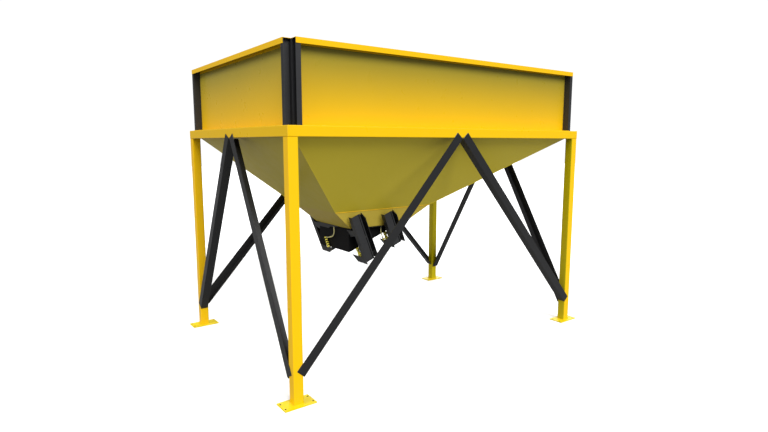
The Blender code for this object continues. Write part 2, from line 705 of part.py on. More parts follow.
def guard(frame, index, side, label):
    """A strip with its foot, a cheek plate, the slotted cover on the strip and the barrel's floor."""
    shift = GUARD_PITCH * index
    low_u, high_u = GUARD_U[0] + shift, GUARD_U[1] + shift
    top = GUARD_TOP_H[index]
    out, strip = GUARD_OUT, GUARD_STRIP
    strip_line = [(strip, top), (out, top), (out, GUARD_FOOT_H), (FOOT_INNER, GUARD_FOOT_H),
                  (FOOT_TIP, FOOT_TOP_H), (strip, FOOT_TOP_H)]
    item = bpy.data.objects.new("guard_" + label, yz_mesh(
        "guard_" + label, sided(strip_line, side), low_u, low_u + GUARD_PLATE))
    place(item, BLACK, frame)
    cheek_top = top - CHEEK_TOP_DROP
    step_h = CHEEK_STEP_H[index]
    cheek_line = [(strip, cheek_top), (out - CHEEK_CHAMFER_Y, cheek_top),
                  (out, cheek_top - CHEEK_CHAMFER_H), (out, GUARD_FOOT_H),
                  (CHEEK_INNER, GUARD_FOOT_H), (CHEEK_INNER, step_h), (strip, step_h)]
    cheek = as_cutter(bpy.data.objects.new("cheek_" + label, yz_mesh(
        "cheek", sided(cheek_line, side), high_u - GUARD_PLATE, high_u)), frame)
    cover = guard_cover(frame, low_u, top, side, label)
    ys = sorted((side * GUARD_FLOOR_OUT, side * CHEEK_INNER))
    floor = as_cutter(bpy.data.objects.new("floor_" + label, box_mesh(
        "floor", (low_u + GUARD_FLOOR_SINK, ys[0], GUARD_FLOOR_H[0]),
        (high_u - GUARD_FLOOR_SINK, ys[1], GUARD_FLOOR_H[1]))), frame)
    pieces = [cover, floor, cheek]
    if index == 0:
        pieces.append(as_cutter(bpy.data.objects.new("tab_" + label, yz_mesh(
            "tab", sided(TAB_LINE, side), low_u, low_u + GUARD_PLATE)), frame))
    for piece in pieces:
        combine(item, piece, "UNION")


def guard_cover(frame, low_u, top, side, label):
    """The outer cover plate with two long slots near its free edge, one above the other."""
    low_y, high_y = sorted((side * GUARD_OUT, side * (GUARD_OUT - GUARD_PLATE)))
    cover = as_cutter(bpy.data.objects.new("cover_" + label, box_mesh(
        "cover", (low_u, low_y, GUARD_COVER_BASE_H), (low_u + GUARD_COVER_U, high_y, top))), frame)
    middle = (GUARD_COVER_BASE_H + top) / 2
    for low_h, high_h in ((GUARD_COVER_BASE_H + COVER_BRIDGE, middle - COVER_BRIDGE),
                          (middle + COVER_BRIDGE, top - COVER_BRIDGE)):
        slot = as_cutter(bpy.data.objects.new("cover_slot_" + label, box_mesh(
            "cover_slot", (low_u + COVER_SLOT_U[0], low_y - GUARD_PLATE, low_h),
            (low_u + COVER_SLOT_U[1], high_y + GUARD_PLATE, high_h))), frame)
        combine(cover, slot, "DIFFERENCE")
    return cover


def outlet_collar():
    """The bar on the outlet's left edge, deeper over its back half."""
    item = bpy.data.objects.new("outlet_collar", yz_mesh("outlet_collar", COLLAR_LINE, *COLLAR_X))
    place(item, BLACK)


def air_valve():
    """A ribbed round valve leaning on the chute's left wall, turned about its own axis."""
    foot, head = Vector((VALVE_X, *VALVE_FOOT)), Vector((VALVE_X, *VALVE_HEAD))
    length = (head - foot).length
    step = length / (2 * VALVE_RINGS)
    profile = [(0.0, length)]
    for k in range(VALVE_RINGS):
        top = length - 2 * k * step
        profile += [(VALVE_NECK, top), (VALVE_NECK, top - step), (VALVE_RADIUS, top - step),
                    (VALVE_RADIUS, top - 2 * step)]
    profile.append((0.0, 0.0))
    mesh = bpy.data.meshes.new("air_valve")
    mesh.from_pydata([(x, 0.0, z) for x, z in profile], [(k, k + 1) for k in range(len(profile) - 1)], [])
    item = bpy.data.objects.new("air_valve", mesh)
    item.matrix_world = Matrix.Translation(foot) @ (head - foot).to_track_quat("Z", "X").to_matrix().to_4x4()
    place(item, BRASS)
    turn = item.modifiers.new("turned", "SCREW")
    turn.steps = turn.render_steps = BORE_STEPS
    turn.use_merge_vertices = True
    turn.merge_threshold = 0.0001
    item.data.shade_flat()
    start, stop = (Vector((VALVE_X, *end)) for end in ELBOW_ENDS)
    elbow = bpy.data.objects.new("valve_elbow", round_mesh(
        "elbow", ELBOW_RADIUS, 0.0, (stop - start).length, "Z", BORE_STEPS))
    turn = (stop - start).to_track_quat("Z", "X").to_matrix().to_4x4()
    elbow.matrix_world = Matrix.Translation(start) @ turn
    combine(item, as_cutter(elbow), "UNION")


def hose(name, corners):
    """A hose along a smooth line through the given points."""
    curve = bpy.data.curves.new(name, "CURVE")
    curve.dimensions = "3D"
    curve.bevel_depth = HOSE_RADIUS
    curve.bevel_resolution = 3
    curve.use_fill_caps = True
    points = smooth_line(corners)
    spline = curve.splines.new("POLY")
    spline.points.add(len(points) - 1)
    for point, place_at in zip(spline.points, points):
        point.co = (*place_at, 1.0)
    place(bpy.data.objects.new(name, curve), RUBBER)


def air_hose():
    """The hose from the valve's elbow round to the underside of the chute's flange."""
    hose("air_hose", [Vector((VALVE_X, y, z)) for y, z in HOSE_LINE])


def gate_hose(name, side):
    """The hose from the port of unit two's barrel up to the underside of the chute's flange."""
    cos, sin = math.cos(TILT), math.sin(TILT)
    line = [Vector((u * cos - h * sin, side * ROD_Y, u * sin + h * cos)) for u, h in GATE_HOSE_LINE]
    top = line[-1].copy()
    top.z = HOSE_TOP_Z
    hose(name, line + [line[-1].lerp(top, 0.5), top])


def smooth_line(points, parts=3):
    """Catmull-Rom points through the given ones."""
    padded = [points[0] * 2 - points[1], *points, points[-1] * 2 - points[-2]]
    line = []
    for a, b, c, d in zip(padded, padded[1:], padded[2:], padded[3:]):
        for k in range(parts):
            t = k / parts
            line.append(0.5 * (2 * b + (c - a) * t + (2 * a - 5 * b + 4 * c - d) * t ** 2
                               + (3 * b - a - 3 * c + d) * t ** 3))
    return line + [points[-1]]


def sided(outline, side):
    return [(side * y, z) for y, z in outline]


def build():
    for hand, side_x in (("left", -1), ("right", 1)):
        for end, side_y in (("front", -1), ("back", 1)):
            leg(f"leg_{end}_{hand}", side_x, side_y)
            base_plate(f"base_plate_{end}_{hand}", side_x, side_y)
            corner_post(f"corner_post_{end}_{hand}", side_x, side_y)
    ring_beam("ring_beam_front", True, -1)
    ring_beam("ring_beam_back", True, 1)
    ring_beam("ring_beam_left", False, -1)
    ring_beam("ring_beam_right", False, 1)
    build_braces()
    wall("wall_front", True, -1)
    wall("wall_back", True, 1)
    wall("wall_left", False, -1)
    wall("wall_right", False, 1)
    for side in ("front", "back", "left", "right"):
        funnel_panel("funnel_" + side, side)
    frame = bpy.data.objects.new("mouth_frame", None)
    PARTS.objects.link(frame)
    frame.rotation_euler = (0.0, -TILT, 0.0)
    chute(frame)
    outlet_collar()
    air_valve()
    air_hose()
    for index, label in enumerate(("one", "two")):
        flap(frame, index, "flap_" + label)
        shaft(frame, index, "flap_shaft_" + label)
        for end, side in (("front", -1), ("back", 1)):
            actuator(frame, index, side, f"{end}_{label}")
            guard(frame, index, side, f"{end}_{label}")
    gate_hose("gate_hose_front", -1)
    gate_hose("gate_hose_back", 1)
    bpy.context.view_layer.update()


build()
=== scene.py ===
"""Studio view of an aggregate hopper: finishes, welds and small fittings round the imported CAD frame."""
import math

import bmesh
import bpy
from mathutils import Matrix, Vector


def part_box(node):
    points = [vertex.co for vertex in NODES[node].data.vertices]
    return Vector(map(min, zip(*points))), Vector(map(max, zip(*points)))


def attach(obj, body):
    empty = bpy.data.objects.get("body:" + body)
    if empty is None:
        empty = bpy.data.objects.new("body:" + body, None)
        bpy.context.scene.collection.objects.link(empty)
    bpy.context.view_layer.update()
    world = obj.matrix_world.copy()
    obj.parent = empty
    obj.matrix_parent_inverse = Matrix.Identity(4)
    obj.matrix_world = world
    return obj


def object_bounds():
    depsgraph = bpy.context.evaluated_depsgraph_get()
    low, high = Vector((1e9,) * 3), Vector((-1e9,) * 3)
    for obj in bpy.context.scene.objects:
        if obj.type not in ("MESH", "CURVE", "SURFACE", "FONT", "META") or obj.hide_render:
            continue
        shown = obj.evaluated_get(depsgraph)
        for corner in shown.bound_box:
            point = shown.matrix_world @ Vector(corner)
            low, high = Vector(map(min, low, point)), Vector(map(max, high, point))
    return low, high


bl_info = {
    "name": "Aggregate Hopper",
    "version": (1, 0, 0),
    "blender": (4, 5, 0),
    "location": "View3D > Sidebar > Hopper",
    "description": "Dresses the hopper's frame with paint, welds and fittings",
    "category": "Object",
}

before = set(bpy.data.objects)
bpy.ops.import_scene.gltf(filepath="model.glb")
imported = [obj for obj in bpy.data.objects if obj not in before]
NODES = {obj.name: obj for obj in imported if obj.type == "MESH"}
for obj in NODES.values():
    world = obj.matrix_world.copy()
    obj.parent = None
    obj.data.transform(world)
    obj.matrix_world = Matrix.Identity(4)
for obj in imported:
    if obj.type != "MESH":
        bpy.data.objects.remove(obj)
CAD_BOUNDS = [list(corner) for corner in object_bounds()]

# Sizes and places of the frame that the small pieces are set out from, in metres and radians
RING_LOW, RING_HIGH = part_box("ring_beam_front")[0].z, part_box("ring_beam_front")[1].z
RING_X, RING_Y = 2.500, 1.695
TUBE = 0.120
RIM_LIP = 0.060
ANCHOR_REACH, ANCHOR_RADIUS, BORE_MARGIN = (0.170, 0.066), 0.011, 0.0006
PLATE_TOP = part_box("base_plate_front_left")[1].z
TILT = math.radians(21.0)
GATE_UP = Vector((-math.sin(TILT), 0.0, math.cos(TILT)))
SHAFT_U = {"one": -0.2125, "two": 0.3075}
SHAFT_H = 1.625
ROD_OFFSET, ROD_Y = 0.0728, 0.4525
LEVER_ARM, LEVER_ANGLE = 0.080, math.radians(35.0)
LEVER_REACH, LEVER_DROP = LEVER_ARM * math.cos(LEVER_ANGLE), LEVER_ARM * math.sin(LEVER_ANGLE)
GUARD_U = {"one": -0.320, "two": 0.200}
GUARD_TOP = {"one": 2.125, "two": 1.925}
GUARD_COVER_BASE, GUARD_FOOT_TOP = 1.422, 1.490
GUARD_WIDTH, GUARD_INNER = 0.215, 0.563
COVER_SLOT, COVER_INNER = (0.115, 0.128), 0.637
VALVE_FOOT, VALVE_HEAD = (-0.9874, 0.116, 1.338), (-0.9874, 0.192, 1.462)
VALVE_NECK, VALVE_RINGS = 0.015, 4
HOSE_FOOT, HOSE_NEXT = (-0.9874, 0.1692, 1.47685), (-0.9874, 0.1450, 1.4809)
HOSE_HEAD = (-0.9874, -0.0385, 1.6812)
GATE_HOSE_FOOT, GATE_HOSE_HEAD = (0.1725, 1.5353), (-0.4257, 1.6812)

# The funnel's top, fold and outlet: (right and left end, half depth, height), in metres
FUNNEL_LEVELS = (
    ((2.3675, -2.3675), 1.5625, 2.962),
    ((0.398, -1.271), 0.570, 1.948),
    ((-0.040, -0.975), 0.495, 1.692),
)

# The least that a brace's outer face stands off the legs, its least width and its least length, in metres
BRACE_SKIN, BRACE_WIDTH, BRACE_RUN = 0.006, 0.05, 1.0

# Welds: section, shares of the full radius, and in metres their gaps to the steel and where they stop
WELD_SIDES, WELD_SWELL = 7, 0.10
HEAD_SHARE, CORNER_SHARE, STITCH_SHARE = 0.7, 0.6, 0.8
WELD_SKIN, WELD_SEAT, WELD_LIFT = 0.0005, 0.001, 0.0015
LEG_WELD_SHORT, CORNER_WELD_FOOT, CORNER_WELD_HEAD, MITRE_DROP = 0.006, 0.004, 0.003, 0.0025
BRACE_FOOT_WELD, BRACE_HEAD_WELD = 0.10, 0.09
STITCH_MARGIN, STITCH_SPACING, STITCH_HALF, WALL_INSET = 0.26, 0.35, 0.03, 0.0095
POST_NEAR, POST_FAR, POST_WELD_FOOT, POST_WELD_TOP = 0.1315, 0.190, 0.002, 0.86

# Small fittings, in metres: a ring is (bore, radius, start, end) on its axis, a nut (width, start, end)
RING_STEPS, STUB_STEPS, NUT_CHAMFER = 32, 18, 0.0012
BUSH_BORE, BUSH_SPAN = 0.0186, (0.4205, 0.4335)
SHAFT_RINGS = (
    (0.0175, 0.0245, 0.4345, 0.4385),
    (0.0175, 0.0250, 0.4930, 0.4965),
    (0.0060, 0.0140, 0.4985, 0.5008),
)
SHAFT_NUT = (0.019, 0.5005, 0.5085)
PIN_RINGS = ((0.0068, 0.0125, 0.4700, 0.4795), (0.0050, 0.0115, 0.4925, 0.4945))
PIN_NUT = (0.013, 0.4945, 0.5015)
BARREL_BANDS, BAND_BASE, BAND_STEP = 5, 1.406, 0.0235
BARREL_SKIN, BAND_RADIUS, BAND_LENGTH = 0.0236, 0.0266, 0.0165
# Dark rings of painted shade in the gaps between a barrel's bands: radius, start and end on the band
GROOVE_SHADE_RADIUS, GROOVE_SHADE_START, GROOVE_SHADE_END = 0.0250, 0.0170, 0.0230
ROD_SCRAPER = (0.0108, 0.0185, 1.5375, 1.5440)
ROD_NUT = (0.027, 1.5465, 1.5545)
PORT_HEIGHTS, PORT_OUT, PORT_NUT = (1.425, 1.520), 0.022, (0.014, 0.0, 0.012)
PORT_STUB = ((0.0, 0.010), (0.0048, 0.010), (0.0048, 0.024), (0.0036, 0.026), (0.0, 0.026))
HOSE_FOOT_FERRULE, HOSE_FOOT_NUT = (0.0078, 0.0098, 0.001, 0.018), (0.019, -0.006, 0.0005)
HOSE_HEAD_FERRULE = (0.0078, 0.0098, 0.001, 0.016)
GATE_FOOT_FERRULE, GATE_FOOT_NUT = (0.0078, 0.0094, 0.001, 0.016), (0.0225, -0.0065, 0.0005)
GATE_HEAD_FERRULE = (0.0078, 0.0092, 0.001, 0.012)
DOWN = (0.0, 0.0, -1.0)
# Dark rings of painted shade in the valve's grooves: gaps and reach inside and outside the neck
VALVE_RING_GAP, VALVE_RING_INSIDE, VALVE_RING_OUTSIDE = 0.0006, 0.0003, 0.0022
# Dark sheets of painted shade in the guards: thickness, laps, margins, gaps, insets, foot and top
SHADE_SHEET, SHADE_SHEET_LAP, SHADE_SHEET_EDGE = 0.002, 0.005, 0.007
SHADE_SHEET_GAP, SHADE_SHEET_INSET, SHADE_SHEET_FOOT, SHADE_SHEET_TOP = 0.0004, 0.003, 0.006, 0.045

# Light, camera and the tones that the finishes share; a sun is (name, strength, way to the light)
WORLD_LIGHT, WORLD_MIRRORED, WORLD_SEEN = 0.72, 0.20, 1.05
SUNS = (
    ("front_light", 3.70, (-0.02, -0.80, 0.60)),
    ("left_light", 1.75, (-0.82, -0.05, 0.57)),
    ("fill_light", 1.3, (0.60, 0.62, 0.50)),
)
SUN_ANGLE, SUN_GLINT = math.radians(35.0), 0.08
FLOOR_SEEN, FLOOR_BOUNCE = (0.93, 0.93, 0.93), (0.20, 0.20, 0.20)
CAMERA_PLACE = (-4.9324, -6.7054, 2.898)
CAMERA_TURN = (math.radians(90.0 - 7.9115), 0.0, math.radians(-36.133))
# Painted shade: the near-black that faces looking down take under the rim and under the ring beam
UNDER_SHADE_TONE = (0.010, 0.006, 0.001)
SCUFF_TONE = (0.42, 0.39, 0.33)
STAIN_TONE = (0.16, 0.11, 0.06)
# Painted shade: near-black for the walls of the anchor holes
BORE_SHADE_TONE = (0.030, 0.027, 0.024)
# Heights over which the walls' painted shade and the funnel's painted shade change tone
WALL_SPAN, FUNNEL_SPAN = (3.10, 3.93), (1.940, 1.952)
SIDES = (("front", -1), ("back", 1))
HANDS = (("left", -1), ("right", 1))


# Properties


class HopperColours(bpy.types.PropertyGroup):
    """Colours of the hopper's finishes."""

    yellow: bpy.props.FloatVectorProperty(
        name="Yellow", description="Paint of the legs", subtype="COLOR", size=3,
        min=0.0, max=1.0, default=(0.72, 0.425, 0.002))
    # Painted shade: a duller copy of the yellow for the legs' faces that look into the stand
    yellow_inner_shade: bpy.props.FloatVectorProperty(
        name="Inner yellow", description="Duller paint of the legs' inner faces", subtype="COLOR", size=3,
        min=0.0, max=1.0, default=(0.43, 0.345, 0.002))
    ring: bpy.props.FloatVectorProperty(
        name="Ring", description="Paint of the ring beam", subtype="COLOR", size=3,
        min=0.0, max=1.0, default=(0.66, 0.405, 0.001))
    plate: bpy.props.FloatVectorProperty(
        name="Base plates", description="Paint of the base plates", subtype="COLOR", size=3,
        min=0.0, max=1.0, default=(0.66, 0.500, 0.001))
    wall_low: bpy.props.FloatVectorProperty(
        name="Wall foot", description="Paint of the walls above the ring beam", subtype="COLOR", size=3,
        min=0.0, max=1.0, default=(0.70, 0.400, 0.002))
    # Painted shade: the tone the walls darken to under the rim
    wall_top_shade: bpy.props.FloatVectorProperty(
        name="Wall top", description="Dulled paint of the walls under the rim", subtype="COLOR", size=3,
        min=0.0, max=1.0, default=(0.190, 0.172, 0.022))
    # Painted shade: darker, greener copies of the yellow for the funnel's slopes, its short slopes and its
    # neck
    funnel: bpy.props.FloatVectorProperty(
        name="Funnel", description="Dulled paint of the funnel", subtype="COLOR", size=3,
        min=0.0, max=1.0, default=(0.62, 0.50, 0.036))
    funnel_end_shade: bpy.props.FloatVectorProperty(
        name="Funnel ends", description="Dulled paint of the funnel's short slopes",
        subtype="COLOR", size=3, min=0.0, max=1.0, default=(0.47, 0.38, 0.028))
    funnel_neck_shade: bpy.props.FloatVectorProperty(
        name="Funnel neck", description="Paint of the funnel near the outlet", subtype="COLOR", size=3,
        min=0.0, max=1.0, default=(0.47, 0.355, 0.045))
    # Painted light and shade: the short walls take lighter copies of the long walls' tones, still darkening
    # toward the rim
    wall_end_lit_foot: bpy.props.FloatVectorProperty(
        name="End wall foot", description="Paint of the short walls above the ring beam",
        subtype="COLOR", size=3, min=0.0, max=1.0, default=(0.74, 0.435, 0.002))
    wall_end_top_shade: bpy.props.FloatVectorProperty(
        name="End wall top", description="Dulled paint of the short walls under the rim",
        subtype="COLOR", size=3, min=0.0, max=1.0, default=(0.290, 0.250, 0.034))
    black: bpy.props.FloatVectorProperty(
        name="Black", description="Paint of the braces", subtype="COLOR", size=3,
        min=0.0, max=1.0, default=(0.0105, 0.0107, 0.0115))
    post: bpy.props.FloatVectorProperty(
        name="Post black", description="Paint of the corner posts, collar and guards",
        subtype="COLOR", size=3, min=0.0, max=1.0, default=(0.0205, 0.0210, 0.0225))
    chute: bpy.props.FloatVectorProperty(
        name="Chute black", description="Dull paint of the chute and flaps", subtype="COLOR", size=3,
        min=0.0, max=1.0, default=(0.0040, 0.0040, 0.0044))
    steel: bpy.props.FloatVectorProperty(
        name="Steel", description="Bare steel of the shafts", subtype="COLOR", size=3,
        min=0.0, max=1.0, default=(0.52, 0.52, 0.53))
    fitting: bpy.props.FloatVectorProperty(
        name="Fittings", description="Yellow plating of the cylinders and fittings",
        subtype="COLOR", size=3, min=0.0, max=1.0, default=(0.80, 0.70, 0.08))
    hose: bpy.props.FloatVectorProperty(
        name="Hose", description="Rubber of the hoses", subtype="COLOR", size=3,
        min=0.0, max=1.0, default=(0.60, 0.55, 0.24))
    dust: bpy.props.FloatVectorProperty(
        name="Dust", description="Pale stone dust", subtype="COLOR", size=3,
        min=0.0, max=1.0, default=(0.60, 0.55, 0.42))


class HopperSizes(bpy.types.PropertyGroup):
    """Sizes of the small pieces, the floor and the lens."""

    weld: bpy.props.FloatProperty(
        name="Weld", description="Radius of the weld beads", unit="LENGTH", default=0.0045)
    ripple: bpy.props.FloatProperty(
        name="Ripple", description="Spacing of the ripples along a weld", unit="LENGTH", default=0.008)
    seam: bpy.props.FloatProperty(
        name="Seam", description="Radius of the funnel's seam welds", unit="LENGTH", default=0.0040)
    waist: bpy.props.FloatProperty(
        name="Waist", description="Radius of the welds along the funnel's long folds", unit="LENGTH",
        default=0.0070)
    bush: bpy.props.FloatProperty(
        name="Bush", description="Outer radius of the shaft bushes", unit="LENGTH", default=0.032)
    edge: bpy.props.FloatProperty(
        name="Edge", description="Rounding of the plates' edges", unit="LENGTH", default=0.0010)
    floor: bpy.props.FloatProperty(
        name="Floor", description="Half width of the studio floor", unit="LENGTH", default=60.0)
    lens: bpy.props.FloatProperty(
        name="Lens", description="Focal length of the camera in millimetres", unit="CAMERA",
        default=24.711)


def colours():
    return bpy.context.scene.hopper_colours


def sizes():
    return bpy.context.scene.hopper_sizes


# Shader groups

COLOUR, NUMBER = "NodeSocketColor", "NodeSocketFloat"


def new_group(name, inputs, outputs):
    """A shader node group with (name, socket type, default) inputs and (name, type) outputs."""
    group = bpy.data.node_groups.new(name, "ShaderNodeTree")
    for label, kind, default in inputs:
        socket = group.interface.new_socket(label, in_out="INPUT", socket_type=kind)
        socket.default_value = default
    for label, kind in outputs:
        group.interface.new_socket(label, in_out="OUTPUT", socket_type=kind)
    enter = group.nodes.new("NodeGroupInput")
    leave = group.nodes.new("NodeGroupOutput")
    return group, enter, leave


def node(tree, kind, **settings):
    made = tree.nodes.new(kind)
    for key, value in settings.items():
        setattr(made, key, value)
    return made


def wire(tree, source, target):
    tree.links.new(source, target)


def maths(tree, operation, first, second=None, clamp=False):
    made = node(tree, "ShaderNodeMath", operation=operation, use_clamp=clamp)
    for socket, value in zip(made.inputs, (first, second)):
        if value is None:
            continue
        if isinstance(value, bpy.types.NodeSocket):
            wire(tree, value, socket)
        else:
            socket.default_value = value
    return made.outputs[0]


def noise(tree, vector, scale, detail=3.0, roughness=0.5):
    made = node(tree, "ShaderNodeTexNoise")
    made.inputs["Detail"].default_value = detail
    made.inputs["Roughness"].default_value = roughness
    made.inputs["Scale"].default_value = scale
    wire(tree, vector, made.inputs["Vector"])
    return made.outputs["Fac"]


def ranged(tree, value, low, high, to_low=0.0, to_high=1.0, smooth=True):
    made = node(tree, "ShaderNodeMapRange", interpolation_type="SMOOTHSTEP" if smooth else "LINEAR")
    wire(tree, value, made.inputs["Value"])
    for label, number in (("From Min", low), ("From Max", high), ("To Min", to_low), ("To Max", to_high)):
        if isinstance(number, bpy.types.NodeSocket):
            wire(tree, number, made.inputs[label])
        else:
            made.inputs[label].default_value = number
    return made.outputs["Result"]


def mixed(tree, factor, first, second):
    """The first colour where factor is nought and the second where it is one."""
    made = node(tree, "ShaderNodeMix", data_type="RGBA")
    wire(tree, factor, made.inputs[0])
    for socket, colour in zip(made.inputs[6:8], (first, second)):
        if isinstance(colour, bpy.types.NodeSocket):
            wire(tree, colour, socket)
        else:
            socket.default_value = (*colour, 1.0)
    return made.outputs[2]


def object_point(tree):
    return node(tree, "ShaderNodeTexCoord").outputs["Object"]


def painted_shade_by_height():
    """Painted shade: a colour that runs from one tone to another with height; above the trim height the
    first returns, and faces that look down darken toward the under tone.
    """
    group, enter, leave = new_group(
        "painted_shade_by_height",
        [("Low Colour", COLOUR, (0.8, 0.5, 0.0, 1.0)), ("High Colour", COLOUR, (0.3, 0.3, 0.1, 1.0)),
         ("Low", NUMBER, 0.0), ("High", NUMBER, 1.0), ("Break Up", NUMBER, 0.04),
         ("Trim", NUMBER, 100.0), ("Under", NUMBER, 0.0)],
        [("Colour", COLOUR)])
    point = object_point(group)
    apart = node(group, "ShaderNodeSeparateXYZ")
    wire(group, point, apart.inputs[0])
    cloud = maths(group, "SUBTRACT", noise(group, point, 1.6), 0.5)
    waver = maths(group, "MULTIPLY", cloud, enter.outputs["Break Up"])
    shifted = maths(group, "ADD", apart.outputs["Z"], waver)
    mask = ranged(group, shifted, enter.outputs["Low"], enter.outputs["High"], smooth=False)
    below_trim = maths(group, "LESS_THAN", apart.outputs["Z"], enter.outputs["Trim"])
    share = maths(group, "MULTIPLY", mask, below_trim)
    tone = mixed(group, share, enter.outputs["Low Colour"], enter.outputs["High Colour"])
    # Painted shade: faces that look down darken toward the under tone
    facing = node(group, "ShaderNodeSeparateXYZ")
    wire(group, node(group, "ShaderNodeNewGeometry").outputs["Normal"], facing.inputs[0])
    downward = maths(group, "LESS_THAN", facing.outputs["Z"], -0.8)
    under = maths(group, "MULTIPLY", downward, enter.outputs["Under"])
    wire(group, mixed(group, under, tone, UNDER_SHADE_TONE), leave.inputs["Colour"])


def inward_face():
    """One on upright faces that look toward the middle of the stand, nought on all others.

    Faces that look along Y count only where Both Ways is one.
    """
    group, enter, leave = new_group(
        "inward_face", [("Both Ways", NUMBER, 0.0)], [("Mask", NUMBER)])
    ways = node(group, "ShaderNodeCombineXYZ")
    ways.inputs["X"].default_value = 1.0
    wire(group, enter.outputs["Both Ways"], ways.inputs["Y"])
    level = node(group, "ShaderNodeVectorMath", operation="MULTIPLY")
    wire(group, object_point(group), level.inputs[0])
    wire(group, ways.outputs["Vector"], level.inputs[1])
    facing = node(group, "ShaderNodeVectorMath", operation="DOT_PRODUCT")
    wire(group, level.outputs["Vector"], facing.inputs[0])
    wire(group, node(group, "ShaderNodeNewGeometry").outputs["Normal"], facing.inputs[1])
    wire(group, maths(group, "LESS_THAN", facing.outputs["Value"], -0.5), leave.inputs["Mask"])


def paint_wear():
    """Sprayed paint: a tone that drifts a little, fine texture, scuffs and a varying gloss."""
    group, enter, leave = new_group(
        "paint_wear",
        [("Colour", COLOUR, (0.8, 0.5, 0.0, 1.0)), ("Drift", NUMBER, 0.06), ("Gloss", NUMBER, 0.32),
         ("Scuff", NUMBER, 0.25)],
        [("Colour", COLOUR), ("Roughness", NUMBER), ("Height", NUMBER)])
    point = object_point(group)
    wander = maths(group, "SUBTRACT", noise(group, point, 0.9, 4.0), 0.5)
    drift = maths(group, "MULTIPLY", wander, enter.outputs["Drift"])
    bright = maths(group, "ADD", drift, 1.0)
    tint = node(group, "ShaderNodeHueSaturation")
    wire(group, bright, tint.inputs["Value"])
    wire(group, enter.outputs["Colour"], tint.inputs["Color"])
    scuffs = ranged(group, noise(group, point, 46.0, 8.0, 0.72), 0.60, 0.74)
    patches = ranged(group, noise(group, point, 2.3, 3.0), 0.50, 0.66)
    worn = maths(group, "MULTIPLY", maths(group, "MULTIPLY", scuffs, patches), enter.outputs["Scuff"])
    wire(group, mixed(group, worn, tint.outputs["Color"], SCUFF_TONE), leave.inputs["Colour"])
    cloud = maths(group, "MULTIPLY", maths(group, "SUBTRACT", noise(group, point, 7.0, 5.0), 0.5), 0.16)
    clouded = maths(group, "ADD", enter.outputs["Gloss"], cloud)
    rough = maths(group, "ADD", clouded, maths(group, "MULTIPLY", worn, 0.5), True)
    wire(group, rough, leave.inputs["Roughness"])
    peel = maths(group, "MULTIPLY", noise(group, point, 240.0, 2.0), 0.35)
    rolled = maths(group, "MULTIPLY", noise(group, point, 9.0, 2.0), 1.6)
    wire(group, maths(group, "ADD", peel, rolled), leave.inputs["Height"])


def settled_dust():
    """Pale dust over a colour: more on upward faces and low on the stand."""
    group, enter, leave = new_group(
        "settled_dust",
        [("Colour", COLOUR, (0.8, 0.5, 0.0, 1.0)), ("Dust Colour", COLOUR, (0.6, 0.55, 0.42, 1.0)),
         ("Level", NUMBER, 0.25), ("Splash", NUMBER, 0.25)],
        [("Colour", COLOUR)])
    point = object_point(group)
    facing = node(group, "ShaderNodeSeparateXYZ")
    wire(group, node(group, "ShaderNodeNewGeometry").outputs["Normal"], facing.inputs[0])
    apart = node(group, "ShaderNodeSeparateXYZ")
    wire(group, point, apart.inputs[0])
    upward = ranged(group, facing.outputs["Z"], 0.45, 0.95)
    speckle = ranged(group, noise(group, point, 30.0, 6.0, 0.7), 0.36, 0.62)
    lying = maths(group, "MULTIPLY", maths(group, "MULTIPLY", upward, speckle), enter.outputs["Level"])
    near_ground = ranged(group, apart.outputs["Z"], 0.02, 0.42, 1.0, 0.0)
    spots = ranged(group, noise(group, point, 70.0, 4.0, 0.6), 0.52, 0.66)
    low_spots = maths(group, "MULTIPLY", near_ground, spots)
    splashed = maths(group, "MULTIPLY", low_spots, enter.outputs["Splash"])
    mask = maths(group, "ADD", lying, splashed, True)
    tone = mixed(group, mask, enter.outputs["Colour"], enter.outputs["Dust Colour"])
    wire(group, tone, leave.inputs["Colour"])


def metal_grain():
    """Fine turning or brushing marks with a little staining."""
    group, enter, leave = new_group(
        "metal_grain",
        [("Colour", COLOUR, (0.5, 0.5, 0.5, 1.0)), ("Gloss", NUMBER, 0.3), ("Stain", NUMBER, 0.3)],
        [("Colour", COLOUR), ("Roughness", NUMBER), ("Height", NUMBER)])
    point = object_point(group)
    stretch = node(group, "ShaderNodeMapping")
    stretch.inputs["Scale"].default_value = (60.0, 900.0, 60.0)
    wire(group, point, stretch.inputs["Vector"])
    lines = noise(group, stretch.outputs[0], 1.0, 3.0)
    blots = ranged(group, noise(group, point, 38.0, 5.0, 0.65), 0.48, 0.68)
    stain = maths(group, "MULTIPLY", blots, enter.outputs["Stain"])
    wire(group, mixed(group, stain, enter.outputs["Colour"], STAIN_TONE), leave.inputs["Colour"])
    lined = maths(group, "ADD", enter.outputs["Gloss"], maths(group, "MULTIPLY", lines, 0.12))
    rough = maths(group, "ADD", lined, maths(group, "MULTIPLY", stain, 0.4), True)
    wire(group, rough, leave.inputs["Roughness"])
    wire(group, lines, leave.inputs["Height"])


def placed(tree, group, **values):
    """The shader group of that name, its inputs set or wired, an underscore standing for a space."""
    made = tree.nodes.new("ShaderNodeGroup")
    made.node_tree = bpy.data.node_groups[group]
    for label, value in values.items():
        socket = made.inputs[label.replace("_", " ")]
        if isinstance(value, bpy.types.NodeSocket):
            wire(tree, value, socket)
        elif isinstance(value, (int, float)):
            socket.default_value = value
        else:
            socket.default_value = (*value, 1.0)
    return made


def new_material(name):
    made = bpy.data.materials.new(name)
    made.use_nodes = True
    return made, made.node_tree, made.node_tree.nodes["Principled BSDF"]


def raised(tree, shader, height, distance, strength):
    bump = node(tree, "ShaderNodeBump")
    bump.inputs["Distance"].default_value = distance
    bump.inputs["Strength"].default_value = strength
    wire(tree, height, bump.inputs["Height"])
    wire(tree, bump.outputs["Normal"], shader.inputs["Normal"])


